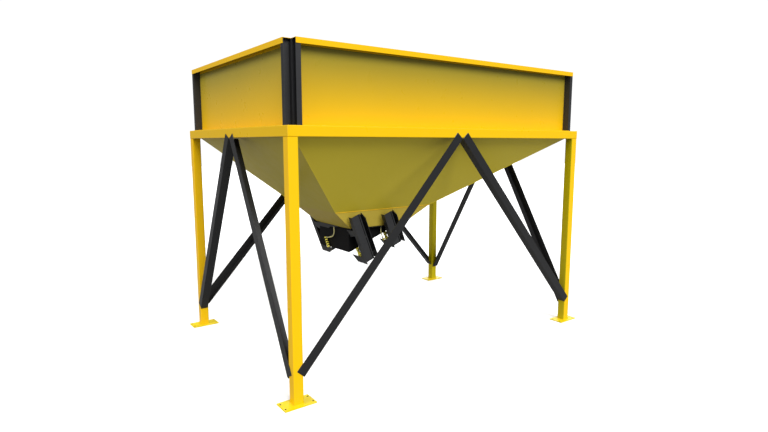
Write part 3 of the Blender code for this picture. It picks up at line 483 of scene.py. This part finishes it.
def painted(name, low, high=None, *, scuff, dust, inner=None, both_ways=0.0, span=(0.0, 1.0), trim=100.0,
            under=0.0, break_up=0.05, gloss=0.30, splash=0.2, coat=0.03, shine=0.18):
    """A painted metal finish.

    With high given, the tone runs from low to high over the span of heights as painted shade, and faces
    that look down can be darkened as painted shade. With inner given, the faces that look toward the middle
    of the stand take that colour as painted shade, along X alone or both ways.
    """
    material, tree, shader = new_material(name)
    colour = low
    if inner is not None:
        inward = placed(tree, "inward_face", Both_Ways=both_ways).outputs["Mask"]
        colour = mixed(tree, inward, low, inner)
    if high is not None:
        colour = placed(tree, "painted_shade_by_height", Low_Colour=low, High_Colour=high, Low=span[0], High=span[1],
                        Break_Up=break_up, Trim=trim, Under=under).outputs["Colour"]
    worn = placed(tree, "paint_wear", Colour=colour, Gloss=gloss, Scuff=scuff)
    dusted = placed(tree, "settled_dust", Colour=worn.outputs["Colour"], Dust_Colour=colours().dust,
                    Level=dust, Splash=splash)
    wire(tree, dusted.outputs["Colour"], shader.inputs["Base Color"])
    wire(tree, worn.outputs["Roughness"], shader.inputs["Roughness"])
    shader.inputs["Coat Weight"].default_value = coat
    shader.inputs["Coat Roughness"].default_value = 0.12
    shader.inputs["Specular IOR Level"].default_value = shine
    raised(tree, shader, worn.outputs["Height"], 0.0006, 0.35)
    return material


def plate_bores(material):
    """Paint the walls of the anchor holes near-black: bare steel, darkened as painted shade in the holes.
    """
    tree = material.node_tree
    shader = tree.nodes["Principled BSDF"]
    apart = node(tree, "ShaderNodeSeparateXYZ")
    wire(tree, object_point(tree), apart.inputs[0])
    aside = []
    ways = (("X", RING_X - TUBE / 2, ANCHOR_REACH[0]), ("Y", RING_Y - TUBE / 2, ANCHOR_REACH[1]))
    for label, middle, reach in ways:
        from_middle = maths(tree, "ABSOLUTE", apart.outputs[label])
        from_leg = maths(tree, "ABSOLUTE", maths(tree, "SUBTRACT", from_middle, middle))
        off = maths(tree, "SUBTRACT", from_leg, reach)
        aside.append(maths(tree, "MULTIPLY", off, off))
    distance = maths(tree, "SQRT", maths(tree, "ADD", *aside))
    bore = maths(tree, "LESS_THAN", distance, ANCHOR_RADIUS + BORE_MARGIN)
    painted_colour = shader.inputs["Base Color"].links[0].from_socket
    wire(tree, mixed(tree, bore, painted_colour, BORE_SHADE_TONE), shader.inputs["Base Color"])


def machined(name, colour, gloss, stain, metallic):
    """A finish with fine marks: bare or plated metal, weld beads and hose rubber."""
    _, tree, shader = new_material(name)
    grain = placed(tree, "metal_grain", Colour=colour, Gloss=gloss, Stain=stain)
    wire(tree, grain.outputs["Colour"], shader.inputs["Base Color"])
    wire(tree, grain.outputs["Roughness"], shader.inputs["Roughness"])
    shader.inputs["Metallic"].default_value = metallic
    raised(tree, shader, grain.outputs["Height"], 0.0002, 0.25)


# Mesh helpers


def finished(name, work, material, body, smooth=True):
    """A new piece from a bmesh, with its material, riding on a body."""
    mesh = bpy.data.meshes.new(name)
    bmesh.ops.recalc_face_normals(work, faces=work.faces)
    work.to_mesh(mesh)
    work.free()
    item = bpy.data.objects.new(name, mesh)
    bpy.context.scene.collection.objects.link(item)
    mesh.materials.append(bpy.data.materials[material])
    if smooth:
        mesh.shade_smooth()
        mesh.set_sharp_from_angle(angle=math.radians(38.0))
    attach(item, body)


def circle(work, centre, side, other, radius, steps):
    """New vertices evenly round a circle about centre that runs from side toward other."""
    ring = []
    for s in range(steps):
        angle = 2 * math.pi * s / steps
        place = centre + side * (radius * math.cos(angle)) + other * (radius * math.sin(angle))
        ring.append(work.verts.new(place))
    return ring


def join_rings(work, first, second):
    """Faces between two rings of as many vertices."""
    count = len(first)
    for s in range(count):
        t = (s + 1) % count
        work.faces.new((first[s], first[t], second[t], second[s]))


def turning_axes(axis):
    """An axis of length one and two directions square to it and to each other."""
    axis = Vector(axis).normalized()
    side = axis.orthogonal().normalized()
    return axis, side, axis.cross(side)


def spaced(corners, step, closed):
    """Points about step apart along straight runs between the corners."""
    corners = [Vector(corner) for corner in corners]
    if closed:
        corners.append(corners[0])
    line = []
    for start, stop in zip(corners, corners[1:]):
        parts = max(1, round((stop - start).length / step))
        line += [start.lerp(stop, k / parts) for k in range(parts)]
    return line if closed else line + [corners[-1]]


def add_weld(work, corners, radius, closed=False):
    """A bead of weld along straight runs between the corners, its rings swelling and narrowing in turn."""
    path = spaced(corners, sizes().ripple / 2, closed)
    count = len(path)
    rings = []
    guide = None
    for k, point in enumerate(path):
        ahead = path[(k + 1) % count] if closed or k < count - 1 else point
        behind = path[k - 1] if closed or k > 0 else point
        along = (ahead - behind).normalized()
        if guide is None:
            guide = along.orthogonal().normalized()
        guide = (guide - along * guide.dot(along)).normalized()
        other = along.cross(guide)
        swell = radius * (1.0 + WELD_SWELL * (1.0 if k % 2 else -1.0))
        rings.append(circle(work, point, guide, other, swell, WELD_SIDES))
    pairs = list(zip(rings, rings[1:])) + ([(rings[-1], rings[0])] if closed else [])
    for first, second in pairs:
        join_rings(work, first, second)
    if not closed:
        work.faces.new(rings[0][::-1])
        work.faces.new(rings[-1])


def add_turned(work, profile, origin, axis):
    """A closed turned shape from (radius, reach along the axis) points that starts and ends on the axis."""
    axis, side, other = turning_axes(axis)
    origin = Vector(origin)
    start = work.verts.new(origin + axis * profile[0][1])
    rings = []
    for radius, reach in profile[1:-1]:
        rings.append(circle(work, origin + axis * reach, side, other, radius, STUB_STEPS))
    stop = work.verts.new(origin + axis * profile[-1][1])
    for first, second in zip(rings, rings[1:]):
        join_rings(work, first, second)
    for s in range(STUB_STEPS):
        t = (s + 1) % STUB_STEPS
        work.faces.new((start, rings[0][s], rings[0][t]))
        work.faces.new((rings[-1][s], rings[-1][t], stop))


def add_ring(work, inner, outer, low, high, origin, axis, chamfer=0.001):
    """A turned ring with chamfered edges round an axis."""
    axis, side, other = turning_axes(axis)
    origin = Vector(origin)
    section = [(inner, low), (outer - chamfer, low), (outer, low + chamfer), (outer, high - chamfer),
               (outer - chamfer, high), (inner, high)]
    rings = []
    for radius, reach in section:
        rings.append(circle(work, origin + axis * reach, side, other, radius, RING_STEPS))
    for first, second in zip(rings, rings[1:] + rings[:1]):
        join_rings(work, first, second)


def add_hex(work, across, low, high, origin, axis):
    """A six-sided nut or head with chamfered ends."""
    axis, side, other = turning_axes(axis)
    origin = Vector(origin)
    corner = across / math.sqrt(3.0)
    rings = []
    section = [(corner - NUT_CHAMFER, low), (corner, low + NUT_CHAMFER), (corner, high - NUT_CHAMFER),
               (corner - NUT_CHAMFER, high)]
    for radius, reach in section:
        rings.append(circle(work, origin + axis * reach, side, other, radius, 6))
    for first, second in zip(rings, rings[1:]):
        join_rings(work, first, second)
    work.faces.new(rings[0][::-1])
    work.faces.new(rings[-1])


def add_prism(work, outline, low, high, side):
    """A flat outline of (u, y) points of the gate's frame run from low to high, on the side given."""
    first = [work.verts.new(gate_point(u, side * y, low)) for u, y in outline]
    second = [work.verts.new(gate_point(u, side * y, high)) for u, y in outline]
    join_rings(work, first, second)
    work.faces.new(first[::-1])
    work.faces.new(second)


def gate_point(u, y, h):
    """World place of a point in the tilted frame of the discharge gear."""
    return Vector((u * math.cos(TILT) - h * math.sin(TILT), y, u * math.sin(TILT) + h * math.cos(TILT)))


# Operators


class HOPPER_OT_finishes(bpy.types.Operator):
    """Make the finishes and give each CAD piece its own"""

    bl_idname = "hopper.finishes"
    bl_label = "Finishes"

    def execute(self, context):
        tones = colours()
        for make in (painted_shade_by_height, inward_face, paint_wear, settled_dust, metal_grain):
            make()
        trim = CAD_BOUNDS[1][2] - RIM_LIP - 0.001
        # Painted shade: the legs' faces that look into the stand take the duller inner tone; on the back
        # right leg the faces looking along Y as well
        painted("stand_yellow", tones.yellow, inner=tones.yellow_inner_shade, scuff=0.02, dust=0.05,
                splash=0.04)
        painted("shaded_yellow", tones.yellow, inner=tones.yellow_inner_shade, both_ways=1.0,
                scuff=0.02, dust=0.05, splash=0.04)
        # Painted shade: the ring beam's faces that look down darken toward the under tone
        painted("ring_yellow", tones.ring, tones.ring, under=0.85, scuff=0.015, dust=0.06)
        plates = painted("plate_yellow", tones.plate, gloss=0.34, scuff=0.03, dust=0.02,
                         splash=0.02, coat=0.0, shine=0.10)
        plate_bores(plates)
        # Painted shade: the walls darken and grey toward the rim and the lip's underside goes near-black;
        # the short walls take lighter copies as painted light
        painted("wall_shade_yellow", tones.wall_low, tones.wall_top_shade, span=WALL_SPAN, trim=trim,
                under=1.0, scuff=0.012, dust=0.10)
        painted("end_wall_shade_yellow", tones.wall_end_lit_foot, tones.wall_end_top_shade, span=WALL_SPAN, trim=trim,
                under=1.0, scuff=0.012, dust=0.10)
        # Painted shade: the funnel's slopes take darker, greener copies of the yellow, the short slopes and
        # the neck darker still
        painted("funnel_shade_yellow", tones.funnel_neck_shade, tones.funnel, span=FUNNEL_SPAN,
                gloss=0.36, scuff=0.02, dust=0.10, break_up=0.0)
        painted("end_funnel_shade_yellow", tones.funnel_neck_shade, tones.funnel_end_shade, span=FUNNEL_SPAN,
                gloss=0.36, scuff=0.02, dust=0.10, break_up=0.0)
        painted("brace_black", tones.black, gloss=0.36, scuff=0.05, dust=0.03, splash=0.06, coat=0.0,
                shine=0.40)
        painted("satin_black", tones.post, gloss=0.38, scuff=0.05, dust=0.03, coat=0.0, shine=0.40)
        # Painted shade: a near-black matt finish for the dark sheets in the guards and the dark rings in
        # the barrels' and valve's grooves
        painted("groove_shade_black", tones.chute, gloss=0.60, scuff=0.02, dust=0.02, coat=0.0, shine=0.05)
        painted("chute_black", tones.chute, gloss=0.55, scuff=0.05, dust=0.04, coat=0.0, shine=0.10)
        machined("turned_steel", tones.steel, 0.26, 0.35, 1.0)
        machined("yellow_plating", tones.fitting, 0.34, 0.12, 0.15)
        machined("weld_yellow", tones.yellow, 0.34, 0.0, 0.0)
        machined("weld_black", tones.black, 0.40, 0.0, 0.0)
        machined("hose_rubber", tones.hose, 0.42, 0.12, 0.0)
        by_start = (
            ("leg_back_right", "shaded_yellow"), ("leg", "stand_yellow"),
            ("ring_beam", "ring_yellow"), ("base_plate", "plate_yellow"), ("brace", "brace_black"),
            ("wall_left", "end_wall_shade_yellow"), ("wall_right", "end_wall_shade_yellow"), ("wall", "wall_shade_yellow"),
            ("corner_post", "satin_black"), ("guard", "satin_black"), ("outlet_collar", "satin_black"),
            ("funnel_left", "end_funnel_shade_yellow"), ("funnel_right", "end_funnel_shade_yellow"),
            ("funnel", "funnel_shade_yellow"), ("outlet_chute", "chute_black"),
            ("flap_shaft", "turned_steel"), ("flap", "chute_black"),
            ("barrel", "yellow_plating"), ("rod", "yellow_plating"), ("air_valve", "yellow_plating"),
            ("air_hose", "hose_rubber"), ("gate_hose", "hose_rubber"))
        for name, item in NODES.items():
            for start, material in by_start:
                if name.startswith(start):
                    item.data.materials.clear()
                    item.data.materials.append(bpy.data.materials[material])
                    break
            else:
                raise RuntimeError("no finish for " + name)
            if name.startswith(("base_plate", "brace", "corner_post", "outlet_collar", "guard")):
                soften(item)
        return {"FINISHED"}


def soften(item):
    """Take the sharpness off a plate's edges."""
    edge = item.modifiers.new("soft_edges", "BEVEL")
    edge.width = sizes().edge
    edge.segments = 2
    edge.limit_method = "ANGLE"
    edge.angle_limit = math.radians(50.0)


class HOPPER_OT_stand_welds(bpy.types.Operator):
    """Run weld beads round the legs' feet and heads and over the ring's corners"""

    bl_idname = "hopper.stand_welds"
    bl_label = "Stand welds"

    def execute(self, context):
        radius = sizes().weld
        reach = TUBE / 2 + WELD_SKIN
        short = reach - LEG_WELD_SHORT
        work = bmesh.new()
        around = ((-1, -1), (1, -1), (1, 1), (-1, 1))
        for _, side_x in HANDS:
            for _, side_y in SIDES:
                x, y = side_x * (RING_X - TUBE / 2), side_y * (RING_Y - TUBE / 2)
                foot, head = PLATE_TOP + WELD_SEAT, RING_LOW - WELD_SEAT
                base = [(x + i * reach, y + j * reach, foot) for i, j in around]
                add_weld(work, base, radius, closed=True)
                inner = [(x - side_x * reach, y + side_y * short, head),
                         (x - side_x * reach, y - side_y * reach, head),
                         (x + side_x * short, y - side_y * reach, head)]
                add_weld(work, inner, radius * HEAD_SHARE)
                outer = (side_x * (RING_X - WELD_LIFT), side_y * (RING_Y - WELD_LIFT))
                corner = (side_x * (RING_X - TUBE), side_y * (RING_Y - TUBE))
                upright = [(*outer, RING_LOW + CORNER_WELD_FOOT), (*outer, RING_HIGH - CORNER_WELD_HEAD)]
                add_weld(work, upright, radius * CORNER_SHARE)
                mitre = [(*outer, RING_HIGH - MITRE_DROP), (*corner, RING_HIGH - WELD_LIFT)]
                add_weld(work, mitre, radius * CORNER_SHARE)
        finished("stand_welds", work, "weld_yellow", "stand")
        return {"FINISHED"}


def brace_frame(label, hand):
    """Three corners of a brace's flat leg, read from its node, and the way it faces.

    The corners are the lowest, its neighbour across the leg and the one at the far end of the same edge.
    """
    item = NODES[f"brace_{label}_{hand}"]
    on_long_side = label in ("front", "back")
    axis = 1 if on_long_side else 0
    sign = -1 if label in ("front", "left") else 1
    face = RING_Y if on_long_side else RING_X
    flat = [vertex.co.copy() for vertex in item.data.vertices if sign * vertex.co[axis] > face + BRACE_SKIN]
    low = min(flat, key=lambda point: point.z)
    others = [point for point in flat if (point - low).length > BRACE_WIDTH]
    across = min(others, key=lambda point: (point - low).length)
    distant = [point for point in flat if (point - low).length > BRACE_RUN]
    width = (across - low).normalized()
    far = min(distant, key=lambda point: abs((point - low).normalized().dot(width)))
    return low, across, far, sign, axis


class HOPPER_OT_brace_welds(bpy.types.Operator):
    """Weld each brace's ends to the leg and the ring beam"""

    bl_idname = "hopper.brace_welds"
    bl_label = "Brace welds"

    def execute(self, context):
        radius = sizes().weld
        work = bmesh.new()
        for label, hands in (("front", HANDS), ("back", HANDS), ("left", SIDES), ("right", SIDES)):
            for hand, _ in hands:
                low, across, far, sign, axis = brace_frame(label, hand)
                run = (far - low).normalized()
                width = across - low
                face = (RING_Y if axis == 1 else RING_X) * sign
                for start, along, limit in ((low, run, BRACE_FOOT_WELD), (far, -run, BRACE_HEAD_WELD)):
                    corners = [start + along * limit, start, start + width, start + width + along * limit]
                    for point in corners:
                        point[axis] = face + sign * WELD_LIFT
                    add_weld(work, corners, radius)
        finished("brace_welds", work, "weld_black", "stand")
        return {"FINISHED"}


class HOPPER_OT_box_welds(bpy.types.Operator):
    """Stitch the walls' feet to the ring and weld the corner posts"""

    bl_idname = "hopper.box_welds"
    bl_label = "Box welds"

    def execute(self, context):
        radius = sizes().weld
        work = bmesh.new()
        for side in (-1, 1):
            for length, face, along_x in ((RING_X, RING_Y, True), (RING_Y, RING_X, False)):
                run = 2 * (length - STITCH_MARGIN)
                count = round(run / STITCH_SPACING)
                for k in range(count):
                    middle = -run / 2 + run * (k + 0.5) / count
                    out = side * (face - WALL_INSET)
                    ends = [(middle - STITCH_HALF, out), (middle + STITCH_HALF, out)]
                    line = [(a, b) if along_x else (b, a) for a, b in ends]
                    stitch = [(*point, RING_HIGH + WELD_SEAT) for point in line]
                    add_weld(work, stitch, radius * STITCH_SHARE)
        finished("wall_foot_welds", work, "weld_yellow", "stand")
        work = bmesh.new()
        low, high = RING_HIGH + POST_WELD_FOOT, RING_HIGH + POST_WELD_TOP
        for side_x in (-1, 1):
            for side_y in (-1, 1):
                for in_x, in_y in ((POST_FAR, POST_NEAR), (POST_NEAR, POST_FAR)):
                    x, y = side_x * (RING_X - in_x), side_y * (RING_Y - in_y)
                    add_weld(work, [(x, y, low), (x, y, high)], radius * HEAD_SHARE)
        finished("post_welds", work, "weld_black", "stand")
        return {"FINISHED"}


class HOPPER_OT_funnel_welds(bpy.types.Operator):
    """Weld the funnel's seams, its long folds and its outlet"""

    bl_idname = "hopper.funnel_welds"
    bl_label = "Funnel welds"

    def execute(self, context):
        work = bmesh.new()
        for end in (0, 1):
            for side in (-1, 1):
                corners = [(ends[end], side * half, z) for ends, half, z in FUNNEL_LEVELS]
                add_weld(work, corners, sizes().seam)
        finished("funnel_seams", work, "funnel_shade_yellow", "stand")
        work = bmesh.new()
        (right, left), half, z = FUNNEL_LEVELS[1]
        for side in (-1, 1):
            add_weld(work, [(left, side * half, z), (right, side * half, z)], sizes().waist)
        finished("waist_welds", work, "weld_yellow", "stand")
        work = bmesh.new()
        (right, left), half, z = FUNNEL_LEVELS[2]
        z += WELD_SKIN
        outlet = [(left, half, z), (right, half, z), (right, -half, z), (left, -half, z)]
        add_weld(work, outlet, sizes().seam)
        finished("outlet_weld", work, "weld_black", "stand")
        return {"FINISHED"}


class HOPPER_OT_shaft_fittings(bpy.types.Operator):
    """Add the bushes, collars and nuts of the flaps' shafts and lever pins"""

    bl_idname = "hopper.shaft_fittings"
    bl_label = "Shaft fittings"

    def execute(self, context):
        for label, u in SHAFT_U.items():
            work = bmesh.new()
            ends = bmesh.new()
            for _, side in SIDES:
                out = (0.0, side, 0.0)
                centre = gate_point(u, 0.0, SHAFT_H)
                add_ring(work, BUSH_BORE, sizes().bush, *BUSH_SPAN, centre, out, chamfer=0.002)
                for ring in SHAFT_RINGS:
                    add_ring(ends, *ring, centre, out)
                add_hex(ends, *SHAFT_NUT, centre, out)
                pin = gate_point(u - LEVER_REACH, 0.0, SHAFT_H - LEVER_DROP)
                for ring in PIN_RINGS:
                    add_ring(ends, *ring, pin, out)
                add_hex(ends, *PIN_NUT, pin, out)
            finished("shaft_bushes_" + label, work, "satin_black", "stand")
            finished("shaft_end_fittings_" + label, ends, "turned_steel", "flap_" + label)
        return {"FINISHED"}


class HOPPER_OT_cylinder_fittings(bpy.types.Operator):
    """Band the cylinders' barrels, put rings of painted shade in the gaps between the bands, and add their
    ports and rod nuts
    """

    bl_idname = "hopper.cylinder_fittings"
    bl_label = "Cylinder fittings"

    def execute(self, context):
        for label, u in SHAFT_U.items():
            for end, side in SIDES:
                middle = gate_point(u - ROD_OFFSET, side * ROD_Y, 0.0)
                work = bmesh.new()
                groove_shade = bmesh.new()
                for k in range(BARREL_BANDS):
                    low = BAND_BASE + BAND_STEP * k
                    add_ring(work, BARREL_SKIN, BAND_RADIUS, low, low + BAND_LENGTH, middle, GATE_UP,
                             chamfer=0.0015)
                    if k < BARREL_BANDS - 1:
                        # Rings of painted shade in the gaps between bands
                        add_ring(groove_shade, BARREL_SKIN, GROOVE_SHADE_RADIUS, low + GROOVE_SHADE_START, low + GROOVE_SHADE_END, middle,
                                 GATE_UP, chamfer=0.0005)
                add_ring(work, *ROD_SCRAPER, middle, GATE_UP, chamfer=0.0015)
                for height in PORT_HEIGHTS:
                    port = gate_point(u - ROD_OFFSET, side * (ROD_Y + PORT_OUT), height)
                    add_hex(work, *PORT_NUT, port, (0.0, side, 0.0))
                    add_turned(work, PORT_STUB, port, (0.0, side, 0.0))
                finished(f"barrel_bands_{end}_{label}", work, "yellow_plating", "stand")
                finished(f"barrel_groove_shade_{end}_{label}", groove_shade, "groove_shade_black", "stand")
                work = bmesh.new()
                add_hex(work, *ROD_NUT, middle, GATE_UP)
                rod = f"rod_{end}_{label}"
                finished(f"rod_nut_{end}_{label}", work, "yellow_plating", rod)
        return {"FINISHED"}


class HOPPER_OT_guard_shade_sheets(bpy.types.Operator):
    """Fold a dark sheet of painted shade behind the slots of each guard's cover and across the guard's
    inside
    """

    bl_idname = "hopper.guard_linings"
    bl_label = "Guard shade sheets"

    def execute(self, context):
        sheet = SHADE_SHEET
        face, deep = COVER_INNER - SHADE_SHEET_GAP, GUARD_INNER + SHADE_SHEET_INSET
        cover_foot = GUARD_COVER_BASE + SHADE_SHEET_FOOT
        for label, low_u in GUARD_U.items():
            fold_top, cover_top = GUARD_TOP[label] - SHADE_SHEET_TOP, GUARD_TOP[label] - SHADE_SHEET_EDGE
            near = low_u + COVER_SLOT[0] - SHADE_SHEET_LAP
            fold = low_u + COVER_SLOT[1] + SHADE_SHEET_LAP
            far = low_u + GUARD_WIDTH - SHADE_SHEET_EDGE
            outline = [(near, face), (fold, face), (fold, deep + sheet), (far, deep + sheet), (far, deep),
                       (fold - sheet, deep), (fold - sheet, face - sheet), (near, face - sheet)]
            strip = [(near, face), (fold, face), (fold, face - sheet), (near, face - sheet)]
            for end, side in SIDES:
                work = bmesh.new()
                add_prism(work, outline, GUARD_FOOT_TOP, fold_top, side)
                add_prism(work, strip, cover_foot, GUARD_FOOT_TOP, side)
                add_prism(work, strip, fold_top, cover_top, side)
                shade_sheet = f"guard_shade_sheet_{end}_{label}"
                finished(shade_sheet, work, "groove_shade_black", "stand", smooth=False)
        return {"FINISHED"}


class HOPPER_OT_air_line(bpy.types.Operator):
    """Add the ferrules and nuts at the ends of the hoses, and rings of painted shade in the valve's grooves
    """

    bl_idname = "hopper.air_line"
    bl_label = "Air line"

    def execute(self, context):
        work = bmesh.new()
        along = Vector(HOSE_NEXT) - Vector(HOSE_FOOT)
        add_ring(work, *HOSE_FOOT_FERRULE, HOSE_FOOT, along)
        add_hex(work, *HOSE_FOOT_NUT, HOSE_FOOT, along)
        add_ring(work, *HOSE_HEAD_FERRULE, HOSE_HEAD, DOWN)
        for _, side in SIDES:
            foot = gate_point(GATE_HOSE_FOOT[0], side * ROD_Y, GATE_HOSE_FOOT[1])
            add_ring(work, *GATE_FOOT_FERRULE, foot, GATE_UP)
            add_hex(work, *GATE_FOOT_NUT, foot, GATE_UP)
            top = (GATE_HOSE_HEAD[0], side * ROD_Y, GATE_HOSE_HEAD[1])
            add_ring(work, *GATE_HEAD_FERRULE, top, DOWN)
        finished("hose_ferrules", work, "turned_steel", "stand")
        foot, head = Vector(VALVE_FOOT), Vector(VALVE_HEAD)
        run = (head - foot).length
        step = run / (2 * VALVE_RINGS)
        # Near-black rings of painted shade in the valve's grooves
        work = bmesh.new()
        inside, outside = VALVE_NECK - VALVE_RING_INSIDE, VALVE_NECK + VALVE_RING_OUTSIDE
        for k in range(VALVE_RINGS):
            low = run - (2 * k + 1) * step + VALVE_RING_GAP
            high = low + step - 2 * VALVE_RING_GAP
            add_ring(work, inside, outside, low, high, foot, head - foot)
        finished("valve_groove_shade", work, "groove_shade_black", "stand")
        return {"FINISHED"}


def studio_white():
    """The floor's finish: white to the camera, grey to the light it sends up, and clear from below."""
    material, tree, shader = new_material("studio_white")
    seen = node(tree, "ShaderNodeLightPath").outputs["Is Camera Ray"]
    wire(tree, mixed(tree, seen, FLOOR_BOUNCE, FLOOR_SEEN), shader.inputs["Base Color"])
    shader.inputs["Roughness"].default_value = 0.95
    shader.inputs["Specular IOR Level"].default_value = 0.0
    from_below = node(tree, "ShaderNodeMixShader")
    wire(tree, node(tree, "ShaderNodeNewGeometry").outputs["Backfacing"], from_below.inputs["Fac"])
    wire(tree, shader.outputs["BSDF"], from_below.inputs[1])
    wire(tree, node(tree, "ShaderNodeBsdfTransparent").outputs["BSDF"], from_below.inputs[2])
    wire(tree, from_below.outputs["Shader"], tree.nodes["Material Output"].inputs["Surface"])
    return material


def studio_world():
    """Even white light all round, white to the camera and dim where it is mirrored in the paint."""
    world = bpy.data.worlds.new("studio_world")
    world.use_nodes = True
    tree = world.node_tree
    background = tree.nodes["Background"]
    background.inputs["Color"].default_value = (1.0, 1.0, 1.0, 1.0)
    path = node(tree, "ShaderNodeLightPath").outputs
    dimmed = ranged(tree, path["Is Glossy Ray"], 0.0, 1.0, WORLD_LIGHT, WORLD_MIRRORED, smooth=False)
    strength = ranged(tree, path["Is Camera Ray"], 0.0, 1.0, dimmed, WORLD_SEEN, smooth=False)
    wire(tree, strength, background.inputs["Strength"])
    return world


class HOPPER_OT_stage(bpy.types.Operator):
    """Set the pale floor, the soft light and the camera"""

    bl_idname = "hopper.stage"
    bl_label = "Stage"

    def execute(self, context):
        half = sizes().floor
        work = bmesh.new()
        bmesh.ops.create_grid(work, x_segments=1, y_segments=1, size=half)
        mesh = bpy.data.meshes.new("studio_floor")
        work.to_mesh(mesh)
        work.free()
        floor = bpy.data.objects.new("studio_floor", mesh)
        floor.location = (0.0, 0.0, -0.001)
        context.scene.collection.objects.link(floor)
        mesh.materials.append(studio_white())
        context.scene.world = studio_world()

        for name, energy, direction in SUNS:
            sun = bpy.data.lights.new(name, "SUN")
            sun.energy = energy
            sun.angle = SUN_ANGLE
            sun.specular_factor = SUN_GLINT
            light = bpy.data.objects.new(name, sun)
            light.rotation_euler = Vector(direction).to_track_quat("Z", "Y").to_euler()
            context.scene.collection.objects.link(light)

        lens = bpy.data.cameras.new("photo_camera")
        lens.lens = sizes().lens
        lens.sensor_width = 36.0
        lens.clip_start, lens.clip_end = 0.05, 500.0
        camera = bpy.data.objects.new("photo_camera", lens)
        camera.location = CAMERA_PLACE
        camera.rotation_euler = CAMERA_TURN
        context.scene.collection.objects.link(camera)
        context.scene.camera = camera
        context.scene.view_settings.view_transform = "Standard"
        return {"FINISHED"}


class HOPPER_PT_panel(bpy.types.Panel):
    """The hopper's pieces, one button each"""

    bl_label = "Aggregate Hopper"
    bl_idname = "HOPPER_PT_panel"
    bl_space_type = "VIEW_3D"
    bl_region_type = "UI"
    bl_category = "Hopper"

    def draw(self, context):
        for operator in OPERATORS:
            self.layout.operator(operator.bl_idname)
        for group in (context.scene.hopper_colours, context.scene.hopper_sizes):
            box = self.layout.box()
            for label in group.__annotations__:
                box.prop(group, label)


OPERATORS = (HOPPER_OT_finishes, HOPPER_OT_stand_welds, HOPPER_OT_brace_welds, HOPPER_OT_box_welds,
             HOPPER_OT_funnel_welds, HOPPER_OT_shaft_fittings, HOPPER_OT_cylinder_fittings,
             HOPPER_OT_guard_shade_sheets, HOPPER_OT_air_line, HOPPER_OT_stage)
CLASSES = (HopperColours, HopperSizes, *OPERATORS, HOPPER_PT_panel)


def register():
    for item in CLASSES:
        bpy.utils.register_class(item)
    bpy.types.Scene.hopper_colours = bpy.props.PointerProperty(type=HopperColours)
    bpy.types.Scene.hopper_sizes = bpy.props.PointerProperty(type=HopperSizes)


def unregister():
    del bpy.types.Scene.hopper_sizes
    del bpy.types.Scene.hopper_colours
    for item in reversed(CLASSES):
        bpy.utils.unregister_class(item)


def main():
    register()
    bpy.ops.hopper.finishes()
    bpy.ops.hopper.stand_welds()
    bpy.ops.hopper.brace_welds()
    bpy.ops.hopper.box_welds()
    bpy.ops.hopper.funnel_welds()
    bpy.ops.hopper.shaft_fittings()
    bpy.ops.hopper.cylinder_fittings()
    bpy.ops.hopper.guard_linings()
    bpy.ops.hopper.air_line()
    bpy.ops.hopper.stage()


if __name__ == "__main__":
    main()
